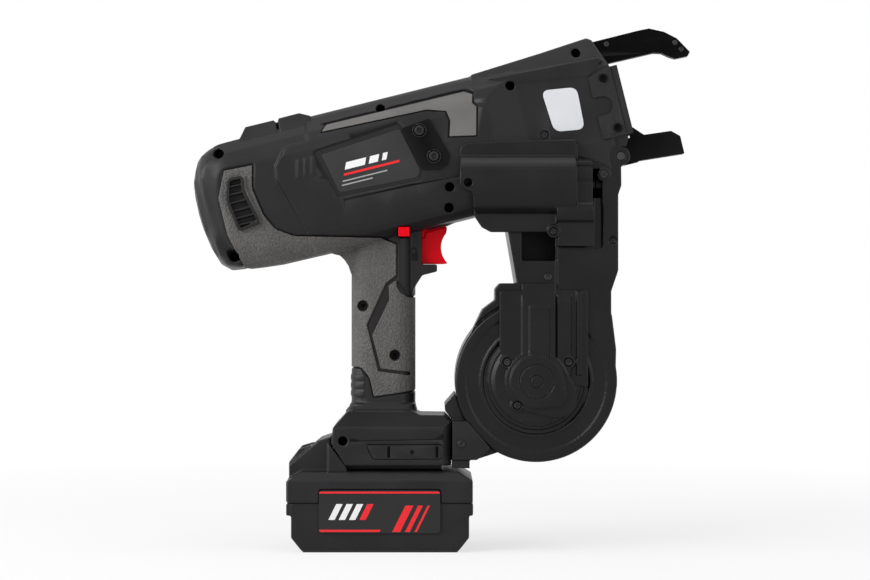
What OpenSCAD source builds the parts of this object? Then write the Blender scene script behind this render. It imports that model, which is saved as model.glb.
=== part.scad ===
// Rebar tying tool: a pistol body on a slide-on battery, with a wire magazine under the head.
// Millimetres. +X points to the muzzle, +Z up, the origin is the centre of the battery's flat base.

/* [Battery] */
// Length of the battery along the tool
battery_len = 117; // [108:1:126]
// Width of the battery
battery_w = 75; // [72:1:82]
// Height of the battery case
battery_h = 51; // [48:1:56]
// Height of the seam between the case halves
battery_seam = 31.5; // [28:0.5:34]
// Wall of the battery case
battery_wall = 2.2; // [1.8:0.1:2.6]
// Diameter of a cell
cell_d = 18.4; // [17.8:0.1:19]
// Travel of the battery along its rails
battery_travel = 100; // [80:5:120]

/* [Foot and handle] */
// Length of the foot
foot_len = 76; // [72:1:80]
// Width of the foot
foot_w = 68; // [64:1:72]
// Height of the foot
foot_h = 34; // [32:1:38]
// Depth of the handle, front to back
handle_depth = 41; // [38:1:44]
// Width of the handle
handle_w = 37; // [34:1:40]
// Height of the handle, foot to barrel
handle_h = 109; // [104:1:116]
// Travel of the trigger
trigger_travel = 6; // [4:0.5:7]
// Travel of the lock button, side to side
lock_travel = 6; // [4:0.5:7]

/* [Barrel and head] */
// Tilt of the barrel, nose up
barrel_tilt = 14; // [12:0.5:16]
// Front end of the barrel ahead of the origin
barrel_ahead = 52.1; // [50:0.1:54]
// Width of the barrel
barrel_w = 72; // [70:1:78]
// Barrel axis to its top
barrel_up = 38.5; // [36:0.5:42]
// Barrel axis to its underside
barrel_down = 46; // [44:0.5:48]
// Length of the barrel up to the head
barrel_len = 165; // [162:1:170]
// Length of the head
head_len = 102; // [98:1:106]
// Width of the head and of the magazine frame
head_w = 62; // [58:1:66]
// Wall of the mouldings
wall = 3; // [2.4:0.2:3.6]
// Thickness of the rubber skin, the trims and the name panel
skin = 1.4; // [1:0.1:1.6]

/* [Twist drive] */
// Diameter of the twist motor
motor_d = 54; // [50:1:56]
// Length of the twist motor's stator
motor_len = 44; // [40:1:46]
// Diameter of the rotor shaft
shaft_d = 5; // [4:0.5:6]
// Diameter of the output shaft
output_d = 12; // [10:0.5:13]
// Diameter of the twist sleeve
sleeve_d = 22; // [20:0.5:24]
// Travel of the twist sleeve
sleeve_travel = 18; // [14:1:20]
// Module of the gear teeth
tooth = 1; // [0.95:0.05:1.05]

/* [Wire feed] */
// Diameter of the feed motor
feed_motor_d = 32; // [30:1:34]
// Length of the feed motor
feed_motor_len = 54; // [50:1:56]
// Diameter of the feed rollers
roller_d = 16.6; // [15:0.2:17]
// Diameter of the tie wire
wire_d = 0.9; // [0.8:0.05:1.2]

/* [Magazine] */
// Reel axis ahead of the origin
reel_x = 98.6; // [97:0.2:101]
// Reel axis above the base
reel_z = 108; // [106:0.5:111]
// Outer diameter of the magazine drum
drum_d = 102.6; // [100:0.2:105]
// Diameter of the reel's flanges
reel_d = 92; // [86:1:94]
// Width of the reel
reel_w = 46; // [42:1:48]
// Depth of the wire wound on the reel
winding_build = 8; // [4:0.5:14]
// Diameter of the hub shaft
hub_d = 16; // [14:0.5:18]
// Swing of the reel door, in degrees
door_swing = 100; // [80:5:110]

/* [Guides] */
// Reach of the upper guide ahead of the head
guide_reach = 55; // [50:1:60]
// Clear gap between the two guides
guide_gap = 49.5; // [46:0.5:53]
// Width of the guides
guide_w = 8; // [7:0.5:9]

/* [Fits] */
// Radial clearance of a running shaft
run_fit = 0.05; // [0.03:0.01:0.08]
// Clearance of a sliding piece
slide_fit = 0.3; // [0.25:0.05:0.4]
// Clearance of a seated piece
seat_fit = 0.05; // [0.04:0.01:0.1]

/* [Hidden] */
$fn = 48;
// A cut reaches this far past the face it opens
past = 1;
// A rib sinks this far into the wall it stands on
sink = 0.6;
// Larger than the whole tool
big = 500;

// Colours
black_plastic = [0.17, 0.16, 0.17];
grey_rubber = [0.46, 0.44, 0.42];
grey_plastic = [0.49, 0.48, 0.46];
trigger_red = [0.78, 0.0, 0.1];
black_steel = [0.06, 0.06, 0.07];
bright_steel = [0.72, 0.73, 0.75];
copper = [0.72, 0.45, 0.25];
board_green = [0.1, 0.35, 0.2];

// The foot and the handle, stacked on the battery
rail_gap = 3.6;
foot_z = battery_h + rail_gap;
foot_top = foot_z + foot_h;
foot_rear = -31;
foot_front = foot_rear + foot_len;
foot_flare = 10;
handle_mid = 1.5;
handle_rear = handle_mid - handle_depth / 2;
handle_front = handle_mid + handle_depth / 2;
handle_round = 13;
neck = 6;

// The barrel: its own frame has u along the axis and v across it, from the middle of the rear face
tan_tilt = tan(barrel_tilt);
axis_z = foot_top + handle_h + barrel_down / cos(barrel_tilt);
rear_x = barrel_ahead - barrel_len * cos(barrel_tilt);
rear_z = axis_z + rear_x * tan_tilt;
barrel_half = barrel_w / 2;
head_half = head_w / 2;
pod_rise = 2;
head_end = barrel_len + head_len;
head_rise = 8.7;
// Rise of the barrel's top in front of the pads
crown = 3.2;
head_low = 20;
frame_u = barrel_len + 25;
round_top = 22;
round_low = 18;
facet_tilt = 5;

// A point of the barrel's frame, as world X and Z
function at_uv(u, v) = [
    rear_x + u * cos(barrel_tilt) - v * sin(barrel_tilt),
    rear_z + u * sin(barrel_tilt) + v * cos(barrel_tilt)
];
function all_at_uv(points) = [for (p = points) at_uv(p.x, p.y)];
// Height of the barrel's underside over a world X
function under(x) = axis_z + x * tan_tilt - barrel_down / cos(barrel_tilt);

// Points along an arc
function arc(centre, r, from, to, steps = 6) =
    [for (i = [0 : steps]) centre + r * [cos(from + (to - from) * i / steps), sin(from + (to - from) * i / steps)]];
// A rectangle with round corners, counter-clockwise
function round_box(x0, y0, x1, y1, low_r, top_r) = concat(
    arc([x0 + low_r, y0 + low_r], low_r, 180, 270),
    arc([x1 - low_r, y0 + low_r], low_r, 270, 360),
    arc([x1 - top_r, y1 - top_r], top_r, 0, 90),
    arc([x0 + top_r, y1 - top_r], top_r, 90, 180)
);
// An outline drawn in by a distance, for a counter-clockwise outline
function unit(v) = v / norm(v);
function inward(a, b) = unit([a.y - b.y, b.x - a.x]);
function drawn_in(points, d) = [
    for (i = [0 : len(points) - 1])
        let (before = points[(i + len(points) - 1) % len(points)])
        let (after = points[(i + 1) % len(points)])
        let (n1 = inward(before, points[i]))
        let (n2 = inward(points[i], after))
        points[i] + d * (n1 + n2) / (1 + n1 * n2)
];
function mirrored(points) = [for (i = [len(points) - 1 : -1 : 0]) [points[i].x, -points[i].y]];
// A gear's outline: flanks from the root radius to the tip radius
function gear_points(teeth, root_r, tip_r) = [
    for (i = [0 : teeth - 1])
        for (corner = [[root_r, -0.32], [tip_r, -0.09], [tip_r, 0.09], [root_r, 0.32]])
            let (a = (i + corner[1]) * 360 / teeth)
            corner[0] * [cos(a), sin(a)]
];

// A side-view outline (X, Z) as a prism between two Y planes
module prism(y0, y1) {
    translate([0, y1, 0]) rotate([90, 0, 0]) linear_extrude(y1 - y0) children();
}
// A cross section (Y, Z) drawn along X
module along(x0, x1) {
    translate([x0, 0, 0]) rotate([90, 0, 90]) linear_extrude(x1 - x0) children();
}
module on_barrel() {
    translate([rear_x, 0, rear_z]) rotate([0, -barrel_tilt, 0]) children();
}
module rod_x(x0, x1, y, z, r) {
    translate([x0, y, z]) rotate([0, 90, 0]) cylinder(r = r, h = x1 - x0);
}
module rod_y(x, y0, y1, z, r) {
    translate([x, y0, z]) rotate([-90, 0, 0]) cylinder(r = r, h = y1 - y0);
}
module box(low, high) {
    translate(low) cube(high - low);
}
// The half of space on one side: -1 is the right half, +1 the left
module half_space(side) {
    translate([-big / 2, side < 0 ? -big : 0, -big / 2]) cube([big, big, 2 * big]);
}
// A right-hand piece, or its mirror image
module on_side(side) {
    mirror([0, side > 0 ? 1 : 0, 0]) children();
}

// Outer form of the body, drawn in by a distance
barrel_side = [
    [2, 4.5 - barrel_down], [20, 2 - barrel_down], [34, 0.6 - barrel_down], [70, -barrel_down],
    [frame_u, -barrel_down], [frame_u, -head_low], [head_end, -head_low], [head_end, barrel_up - 12.5],
    [head_end - 6, barrel_up + head_rise - 2],
    [head_end - 9, barrel_up + head_rise], [barrel_len + 61, barrel_up + 6.1], [barrel_len + 15, barrel_up + crown],
    [75, barrel_up + crown], [74, barrel_up], [20, barrel_up - 0.5], [8, barrel_up - 1], [2, barrel_up - 3],
    [-3.5, barrel_up - 6.5], [-7.5, barrel_up - 13], [-10, 16], [-11.2, 4], [-11, -9], [-8.5, -24],
    [-4.3, 10 - barrel_down],
];
// The barrel's sides draw in to the head between these two places
shoulder_u = barrel_len + 20;
shoulder_end = barrel_len + 42;
function plan_half(half) = [
    [-13, 22 - half], [-9, 11 - half], [-3, 4 - half], [9, -half], [shoulder_u, -half], [shoulder_end, -head_half],
    [head_end + 20, -head_half],
];
function barrel_plan(half) = concat(plan_half(half), mirrored(plan_half(half)));
head_section = [
    [-head_half, -2 * barrel_down], [head_half, -2 * barrel_down], [head_half, barrel_up - 6],
    [head_half - 4, barrel_up], [10, barrel_up + 30], [-10, barrel_up + 30], [4 - head_half, barrel_up],
    [-head_half, barrel_up - 6],
];
module barrel_form(inset, half) {
    intersection() {
        prism(-big, big) polygon(drawn_in(barrel_side, inset));
        translate([0, 0, -big / 2]) linear_extrude(big) polygon(drawn_in(barrel_plan(half), inset));
        union() {
            along(-15, shoulder_end) polygon(
                drawn_in(round_box(-half, -barrel_down, half, barrel_up + crown, round_low, round_top), inset)
            );
            translate([barrel_len + 12, 0, 0]) rotate([0, facet_tilt, 0]) translate([0, 0, 1])
                along(0, head_len + 10) polygon(drawn_in(head_section, inset));
        }
    }
}
pod_side = [
    [52, -16], [60, -barrel_down - 5], [head_end, -barrel_down - 5], [head_end, 60], [75, 60], [70, 25],
    [56, 25], [47, 15], [46, 6],
];
module barrel_block(inset = 0) {
    on_barrel() {
        barrel_form(inset, barrel_half - pod_rise);
        intersection() {
            barrel_form(inset, barrel_half);
            prism(-big, big) polygon(drawn_in(pod_side, inset));
        }
    }
}
module handle_block(inset = 0) {
    h = handle_h + neck + 8;
    half = handle_w / 2;
    translate([0, 0, foot_top - neck]) linear_extrude(h)
        polygon(drawn_in(round_box(handle_rear, -half, handle_front, half, handle_round, handle_round), inset));
}
foot_side = [
    [foot_rear + 9, foot_z], [foot_front, foot_z], [foot_front, foot_top - 6.5], [foot_front - 4, foot_top - 2.4],
    [handle_front + 3, foot_top - 2.2], [handle_front - 1, foot_top], [foot_rear + 10, foot_top],
    [foot_rear + 1, foot_top - 10], [foot_rear, foot_z + 14],
];
foot_end = [
    [-foot_w / 2, foot_z], [foot_w / 2, foot_z], [foot_w / 2, foot_top - foot_flare],
    [handle_w / 2 + 1, foot_top + 2], [-handle_w / 2 - 1, foot_top + 2], [-foot_w / 2, foot_top - foot_flare],
];
module foot_block(inset = 0) {
    intersection() {
        prism(-big, big) polygon(drawn_in(foot_side, inset));
        along(-big, big) polygon(drawn_in(foot_end, inset));
    }
}
// The web behind the handle and the finger rest in front of it
web_side = [
    [handle_rear - 14, under(handle_rear - 14) + 2], [handle_rear - 12, under(handle_rear - 12) - 1],
    [handle_rear - 7.6, under(handle_rear) - 4.9], [handle_rear - 4.4, under(handle_rear) - 7.8],
    [handle_rear - 1.8, under(handle_rear) - 11.7], [handle_rear, under(handle_rear) - 17],
    [handle_rear + 12, under(handle_rear) - 17], [handle_rear + 12, under(handle_rear) + 8],
    [handle_rear - 10, under(handle_rear) + 4],
];
module web_block(inset = 0) {
    half = handle_w / 2 - 6;
    prism(inset - half, half - inset) polygon(drawn_in(web_side, inset));
}
trigger_room = 21;
rest_z = under(handle_front) - trigger_room;
rest_reach = 14;
rest_side = [
    [handle_front - 3, rest_z - 20], [handle_front, rest_z - 14], [handle_front + 4, rest_z - 7],
    [handle_front + rest_reach, rest_z - 4.5], [handle_front + rest_reach, rest_z], [handle_front - 3, rest_z],
];
module finger_rest() {
    half = handle_w / 2 - 6;
    prism(-half, half) polygon(rest_side);
}
module body_form(inset = 0) {
    barrel_block(inset);
    handle_block(inset);
    foot_block(inset);
    web_block(inset);
}

// Regions of the skin pieces in the side view
grip_front = handle_front - 11;
grip_side = concat(
    all_at_uv([[14, 21], [6, 4], [6, -20], [14, -barrel_down - 8]]),
    [
        [handle_rear - 6, rest_z], [handle_rear - 6, foot_top + 27], [handle_rear + 6, foot_top + 27],
        [handle_rear + 11, foot_top + 21],
        [handle_rear + 14, foot_top + 8], [handle_front + 6, foot_top + 13], [handle_front + 6, rest_z - 20],
        [handle_front - 4, rest_z - 20], [grip_front, rest_z - 11], [grip_front, under(grip_front) - 5],
        [handle_mid - 0.9, under(handle_mid - 0.9) + 2],
    ],
    all_at_uv([[48, -30], [38, -23], [33, -13], [30, 5], [34, 20]])
);
trim_top = barrel_up - 6.5;
trim_uv = [
    [80.5, trim_top - 3], [barrel_len - 17, trim_top - 5.5], [barrel_len - 5, trim_top - 9.5],
    [barrel_len - 4, trim_top - 16], [barrel_len - 7, trim_top - 25.5], [barrel_len + 9.5, trim_top - 29],
    [barrel_len + 14, trim_top - 11.5], [barrel_len + 12, trim_top - 8.5], [barrel_len + 13.5, trim_top - 3],
    [barrel_len + 8.5, trim_top - 0.8], [84.5, trim_top],
];
panel_uv = [[77, 15], [83, -12], [barrel_len - 37, -13.2], [barrel_len - 44, 18.2]];
plate_uv = [
    [barrel_len - 35, 18.5], [barrel_len - 28.5, -10], [barrel_len - 18, -12.4], [barrel_len - 13, -11],
    [barrel_len - 9.5, -5.5], [barrel_len - 17, 20.5],
];
plate_screw_uv = [[barrel_len - 24.5, 14.5], [barrel_len - 19.5, -3.5]];
vent_uv = [[12.5, 1], [15, -19], [29, -17], [24.5, 13.7], [16.5, 14]];
vent_slots = 6;
vent_slot_w = 2;
module uv_prism(points, y0, y1) {
    prism(y0, y1) polygon(all_at_uv(points));
}

// Fasteners of the housing: places, and the screw that all of them share
screw_r = 1.5;
screw_head_r = 2.6;
screw_head_h = 2.4;
screw_seat = 10;
screw_len = 22;
boss_r = 4.5;
screw_points = concat(
    all_at_uv([
        [14, barrel_up - 7], [8, 12 - barrel_down], [barrel_len - 45, barrel_up - 4], [barrel_len + 38, barrel_up - 10],
        [head_end - 18, barrel_up + 0.5], [barrel_len - 14.5, -24.5],
        [barrel_len - 18, 9 - barrel_down],
    ]),
    [
        [handle_rear + 7.7, foot_top + 67], [handle_front - 13, foot_top + 35.5],
        [foot_rear + 7.4, foot_z + 15.7],
    ]
);
module at_screws() {
    for (p = screw_points) translate([p.x, 0, p.y]) children();
}
module screw_holes() {
    at_screws() {
        rod_y(0, -screw_seat - past, screw_len - screw_seat + past, 0, screw_r + seat_fit);
        rod_y(0, -big / 2, -screw_seat, 0, screw_head_r + slide_fit);
    }
}
module one_screw(r, head_r, head_h, length) {
    difference() {
        union() {
            rod_y(0, -head_h, 0, 0, head_r);
            rod_y(0, -seat_fit, length, 0, r);
        }
        translate([0, -head_h / 2, 0]) rotate([90, 0, 0]) cylinder(r = head_r * 0.55, h = head_h, $fn = 6);
    }
}

// The twist drive's places along the barrel
motor_u = 28;
bearing_w = 5;
bearing_r = shaft_d / 2 + 5.5;
bearing_us = [motor_u - 2 * bearing_w, motor_u + motor_len + 3];
stator_bore_r = motor_d / 2 - 12.5;
sun_teeth = 12;
planet_teeth = 18;
ring_teeth = sun_teeth + 2 * planet_teeth;
sun_r = tooth * sun_teeth / 2;
planet_r = tooth * planet_teeth / 2;
ring_pitch_r = tooth * ring_teeth / 2;
ring_r = ring_pitch_r + 5;
orbit_r = sun_r + planet_r;
gear_root = 1.25 * tooth;
gear_tip = 0.9 * tooth;
gear_w = 9;
ring_u = bearing_us[1] + bearing_w + 3;
ring_w = gear_w + 8;
gear_u = ring_u + 2;
carrier_u = gear_u + gear_w + 0.6;
carrier_w = 4;
planet_pin_r = 2;
output_r = output_d / 2;
output_bearing_u = barrel_len - 23;
output_bearing_r = output_r + 6;
sleeve_r = sleeve_d / 2;
sleeve_u = barrel_len + 26;
sleeve_len = 42;
bush_u = sleeve_u + 19;
bush_w = 6;
hook_room_r = 17.5;
rib_w = 4;

// Cavity of the two housing halves
rail_neck_half = 21;
rail_flange_half = 26.5;
rail_flange_z = foot_z + wall + slide_fit;
rail_flange_h = 3.6;
rail_top = rail_flange_z + rail_flange_h;
rail_front = foot_front - wall - 3;
latch_bar_half = 6;
latch_bar_h = 2;
trigger_half = 7;
lock_w = 7.2;
lock_h = 6;
lock_x = handle_front - 7;
lock_z = under(lock_x) + 1.4;
switch_front = handle_rear + 21.5;
feed_pinion_teeth = 14;
feed_gear_teeth = 22;
feed_pinion_r = tooth * feed_pinion_teeth / 2;
feed_gear_r = tooth * feed_gear_teeth / 2;
roller_y = roller_d / 2 + wire_d / 4;
feed_y = -roller_y - feed_pinion_r - feed_gear_r;
feed_drop = 36.2;
feed_z = axis_z + reel_x * tan_tilt - feed_drop;
feed_motor_r = feed_motor_d / 2;
feed_motor_end = reel_x + 20.5;
feed_motor_x = feed_motor_end - feed_motor_len;
guide_top = barrel_up + 6.5;
guide_low = guide_gap / 2 + 4;
low_guide_top = guide_low - guide_gap;
guide_uv = [
    [head_end - 26, guide_low + 3], [head_end, guide_low + 0.5], [head_end + guide_reach - 23, guide_low],
    [head_end + guide_reach - 18, guide_low - 1.4], [head_end + guide_reach - 13.5, guide_low - 5],
    [head_end + guide_reach - 10, guide_low - 7], [head_end + guide_reach - 2, guide_low - 7.3],
    [head_end + guide_reach, guide_low - 5], [head_end + guide_reach - 6, guide_low + 5.4],
    [head_end + guide_reach - 13, guide_low + 11.5], [head_end + guide_reach - 22, guide_low + 16],
    [head_end + guide_reach - 29, guide_low + 16.3], [head_end - 5, guide_top], [head_end - 12, guide_top - 3],
    [head_end - 26, guide_top - 3],
];
module body_cavity() {
    barrel_block(wall);
    handle_block(wall);
    foot_block(wall);
    // Slot between the rails, open to the rear
    box([foot_rear - past, -rail_neck_half - slide_fit, foot_z - past],
        [rail_front + slide_fit, rail_neck_half + slide_fit, foot_z + wall + past]);
    box([foot_rear - past, -rail_flange_half - slide_fit, foot_z + wall],
        [foot_rear + 16, rail_flange_half + slide_fit, rail_top + slide_fit]);
    box([foot_rear - past, -latch_bar_half - slide_fit, foot_z + wall],
        [foot_rear + 8, latch_bar_half + slide_fit, rail_top + latch_bar_h + 2 * slide_fit]);
}
module rib(u, w, bore_r) {
    difference() {
        intersection() {
            barrel_block(wall - sink);
            on_barrel() translate([u, -big / 2, -big / 2]) cube([w, big, big]);
        }
        on_barrel() rod_x(u - past, u + w + past, 0, 0, bore_r);
    }
}
module inner_ribs() {
    rib(bearing_us[0] + 1, rib_w - 1, bearing_r + seat_fit);
    rib(motor_u + 6, rib_w, motor_d / 2 + seat_fit);
    rib(motor_u + motor_len - 10, rib_w, motor_d / 2 + seat_fit);
    rib(bearing_us[1] + 1, rib_w - 1, bearing_r + seat_fit);
    rib(ring_u + 6, rib_w, ring_r + seat_fit);
    rib(output_bearing_u + 1, rib_w, output_bearing_r + seat_fit);
    rib(bush_u, bush_w, sleeve_r + slide_fit);
    intersection() {
        body_form(wall - sink);
        at_screws() rod_y(0, -big / 2, big / 2, 0, boss_r);
    }
}
// Everything that is cut out of the housing after its ribs are in
module housing_cuts() {
    screw_holes();
    // Window of the trigger, and the way of the lock button
    box([switch_front, -trigger_half - slide_fit, rest_z],
        [handle_front + past, trigger_half + slide_fit, under(handle_front) - 3]);
    box([lock_x - lock_w / 2 - slide_fit, -big / 2, lock_z - lock_h / 2 - slide_fit],
        [lock_x + lock_w / 2 + slide_fit, big / 2, lock_z + lock_h / 2 + slide_fit]);
    // Opening for the hooks, and the slot of the upper guide
    on_barrel() rod_x(head_end - 2 * wall, head_end + past, 0, 0, hook_room_r);
    uv_prism(drawn_in(guide_uv, -seat_fit), -guide_w / 2 - seat_fit, guide_w / 2 + seat_fit);
    cover_screw_holes(feed_screw_points);
    // Opening beside the feed motor
    box([feed_motor_x - 3, -big / 2, feed_z - feed_motor_r - 1],
        [feed_motor_end + 3, feed_y + feed_motor_r + 1, feed_z + feed_motor_r + 1]);
    for (side = [-1, 1]) on_side(side) {
        difference() {
            prism(-big / 2, 0) polygon(grip_side);
            body_form(skin);
        }
        difference() {
            uv_prism(trim_uv, -big / 2, -10);
            barrel_block(skin);
        }
        uv_prism(vent_uv, -big / 2, -15);
        for (p = plate_screw_uv)
            translate([at_uv(p.x, p.y).x, 0, at_uv(p.x, p.y).y])
                rod_y(0, -barrel_half - past, 1 - barrel_half + plate_screw_len, 0, screw_r + seat_fit);
    }
    difference() {
        uv_prism(panel_uv, -big / 2, -10);
        barrel_block(skin);
    }
}
module housing(side) {
    difference() {
        union() {
            difference() {
                union() {
                    body_form();
                    finger_rest();
                }
                body_cavity();
            }
            inner_ribs();
        }
        housing_cuts();
        half_space(-side);
    }
}
module right_housing() {
    color(black_plastic) housing(-1);
}
module left_housing() {
    color(black_plastic) housing(1);
}

// Rubber grip: the outer skin of the body inside the grip's outline
module grip(side) {
    difference() {
        intersection() {
            body_form();
            on_side(side) prism(-big / 2, 0) polygon(grip_side);
        }
        body_form(skin);
        body_cavity();
        screw_holes();
        on_side(side) uv_prism(vent_uv, -big / 2, -15);
        box([lock_x - lock_w / 2 - slide_fit, -big / 2, lock_z - lock_h / 2 - slide_fit],
            [lock_x + lock_w / 2 + slide_fit, big / 2, lock_z + lock_h / 2 + slide_fit]);
    }
}
module right_grip() {
    color(grey_rubber) grip(-1);
}
module left_grip() {
    color(grey_rubber) grip(1);
}
module trim(side) {
    intersection() {
        difference() {
            barrel_block();
            barrel_block(skin);
        }
        on_side(side) uv_prism(trim_uv, -big / 2, -10);
    }
}
module right_trim() {
    color(grey_plastic) trim(-1);
}
module left_trim() {
    color(grey_plastic) trim(1);
}
module name_panel() {
    color(black_steel) intersection() {
        difference() {
            barrel_block(skin / 4);
            barrel_block(skin);
        }
        uv_prism(panel_uv, -big / 2, -10);
    }
}
plate_t = 1.5;
plate_screw_len = 7;
module side_plate(side) {
    on_side(side) difference() {
        uv_prism(plate_uv, -barrel_half - plate_t, -barrel_half);
        for (p = plate_screw_uv)
            translate([at_uv(p.x, p.y).x, 0, at_uv(p.x, p.y).y])
                rod_y(0, -barrel_half - plate_t - past, past - barrel_half, 0, screw_r + seat_fit);
    }
}
module right_side_plate() {
    color(black_steel) side_plate(-1);
}
module left_side_plate() {
    color(black_steel) side_plate(1);
}
module plate_screws() {
    color(bright_steel)
        for (side = [-1, 1], p = plate_screw_uv)
            on_side(side) translate([at_uv(p.x, p.y).x, -barrel_half - plate_t, at_uv(p.x, p.y).y])
                one_screw(screw_r, 3.1, 2.2, plate_screw_len);
}
module housing_screws() {
    color(bright_steel) at_screws() translate([0, -screw_seat, 0])
        one_screw(screw_r, screw_head_r, screw_head_h, screw_len);
}
// Louvred insert in the vent's window
vent_pitch = 4.6;
vent_frame = 1.8;
module vent(side) {
    on_side(side) difference() {
        intersection() {
            difference() {
                barrel_block(skin / 2);
                barrel_block(wall);
            }
            uv_prism(drawn_in(vent_uv, seat_fit), -big / 2, -15);
        }
        intersection() {
            uv_prism(drawn_in(vent_uv, vent_frame), -big / 2, -10);
            for (i = [0 : vent_slots - 1])
                on_barrel() translate([0, -big / 2, 10 - vent_pitch * (i + 0.5)]) cube([big, big / 2, vent_slot_w]);
        }
    }
}
module right_vent() {
    color(black_plastic) vent(-1);
}
module left_vent() {
    color(black_plastic) vent(1);
}

// Raised pads on the barrel's top: the control panel and the pad in front of it
pad_half = 17;
pad_top = barrel_up + 4.4;
rear_pad_uv = [[26, 20], [54, 20], [54, pad_top], [35, pad_top], [26, barrel_up - 1]];
front_pad_uv = [[55, 20], [73.5, 20], [73, pad_top - 3], [70.5, pad_top + 0.5], [57, pad_top + 0.5], [55, pad_top - 1]];
button_u = 44.5;
button_r = 5;
button_h = 2.6;
button_travel = 1;
module top_pads() {
    color(black_plastic) difference() {
        union() {
            uv_prism(rear_pad_uv, -pad_half, pad_half);
            uv_prism(front_pad_uv, -pad_half, pad_half);
        }
        barrel_block();
        on_barrel() translate([button_u, 0, pad_top - button_h - slide_fit])
            cylinder(r = button_r + slide_fit, h = button_h + past);
    }
}
module power_button() {
    color(trigger_red) on_barrel() translate([button_u, 0, pad_top - button_h + button_travel])
        cylinder(r = button_r, h = button_h);
}

// Steel plate over the front of the head, with an ear folded back on each side
front_plate_t = 4.5;
plate_top = guide_low - 3.75;
ear_t = 1.5;
ear_len = 15;
scoop_r = 6;
ear_uv = [
    [head_end - ear_len, 1 - head_low], [head_end + front_plate_t, 1 - head_low],
    [head_end + front_plate_t, plate_top], [head_end - 3, plate_top], [head_end - ear_len, plate_top - 3.5],
];
ear_screw_uv = [[head_end - 6, plate_top - 6], [head_end - 4.5, 6.5 - head_low]];
module front_plate() {
    color(black_steel) difference() {
        union() {
            for (side = [-1, 1]) on_side(side) uv_prism(ear_uv, -head_half - ear_t, -head_half);
            on_barrel() box([head_end, -head_half - ear_t, 1 - head_low],
                [head_end + front_plate_t, head_half + ear_t, plate_top]);
        }
        on_barrel() {
            rod_x(head_end - past, head_end + front_plate_t + past, 0, 0, hook_room_r);
            rod_y(head_end - 10, -big / 2, big / 2, 2, scoop_r);
            box([head_end - ear_len - past, -big / 2, 2 - scoop_r], [head_end - 10, big / 2, 2 + scoop_r]);
            for (p = ear_screw_uv) rod_y(p.x, -big / 2, big / 2, p.y, screw_r + seat_fit);
        }
    }
}

// Upper curl guide with its rivets
rivet_r = 1.7;
rivet_head = 0.6;
rivet_uv = [
    [head_end + 4, guide_top - 3.5], [head_end + guide_reach - 8, guide_low + 3],
    [head_end + guide_reach - 5, guide_low - 2],
];
module upper_guide() {
    color(black_steel) difference() {
        uv_prism(guide_uv, -guide_w / 2, guide_w / 2);
        on_barrel() for (p = rivet_uv) rod_y(p.x, -big / 2, big / 2, p.y, rivet_r + seat_fit);
        screw_holes();
    }
}
module guide_rivets() {
    color(bright_steel) on_barrel()
        for (p = rivet_uv) rod_y(p.x, -guide_w / 2 - rivet_head, guide_w / 2 + rivet_head, p.y, rivet_r);
}

// Lower curl guide, on a pin through the front of the magazine frame
low_pivot = [head_end - 6.7, low_guide_top - 10.75];
low_pin_r = 2.5;
low_lug_r = 5.5;
low_lug_half = guide_w / 2;
low_guide_half = guide_w / 2 + 2;
low_guide_uv = [
    [head_end - 1.5, low_guide_top - 14.5], [head_end + 1, low_guide_top - 15.2],
    [head_end + 35.6, low_guide_top - 18.2], [head_end + 35.7, low_guide_top - 6.6],
    [head_end + 30.8, low_guide_top - 2], [head_end + 13.2, low_guide_top - 0.2],
    [head_end + 7.4, low_guide_top + 6.2], [head_end + 5, low_guide_top + 6.2],
    [head_end + 5, low_guide_top + 0.1], [head_end - 1.5, low_guide_top + 0.1],
];
low_lug_uv = concat(
    [[head_end + 6, low_pivot.y - low_lug_r], [head_end + 6, low_pivot.y + low_lug_r]],
    arc(low_pivot, low_lug_r, 90, 270, 10)
);
module lower_guide() {
    color(black_steel) difference() {
        union() {
            uv_prism(low_guide_uv, -low_guide_half, low_guide_half);
            uv_prism(low_lug_uv, -low_lug_half, low_lug_half);
        }
        on_barrel() {
            rod_y(low_pivot.x, -big / 2, big / 2, low_pivot.y, low_pin_r + run_fit);
            box([head_end + 9, -2, low_guide_top - 9], [head_end + 40, 2, low_guide_top + 10]);
        }
    }
}
module lower_guide_pin() {
    color(bright_steel) on_barrel() rod_y(low_pivot.x, -head_half, head_half, low_pivot.y, low_pin_r);
}
low_spring_w = 1.4;
module lower_guide_spring() {
    color(bright_steel) on_barrel() difference() {
        rod_y(
            low_pivot.x, -low_lug_half - slide_fit - low_spring_w, -low_lug_half - slide_fit, low_pivot.y, low_lug_r - 1
        );
        rod_y(low_pivot.x, -big / 2, big / 2, low_pivot.y, low_pin_r + slide_fit);
    }
}

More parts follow.
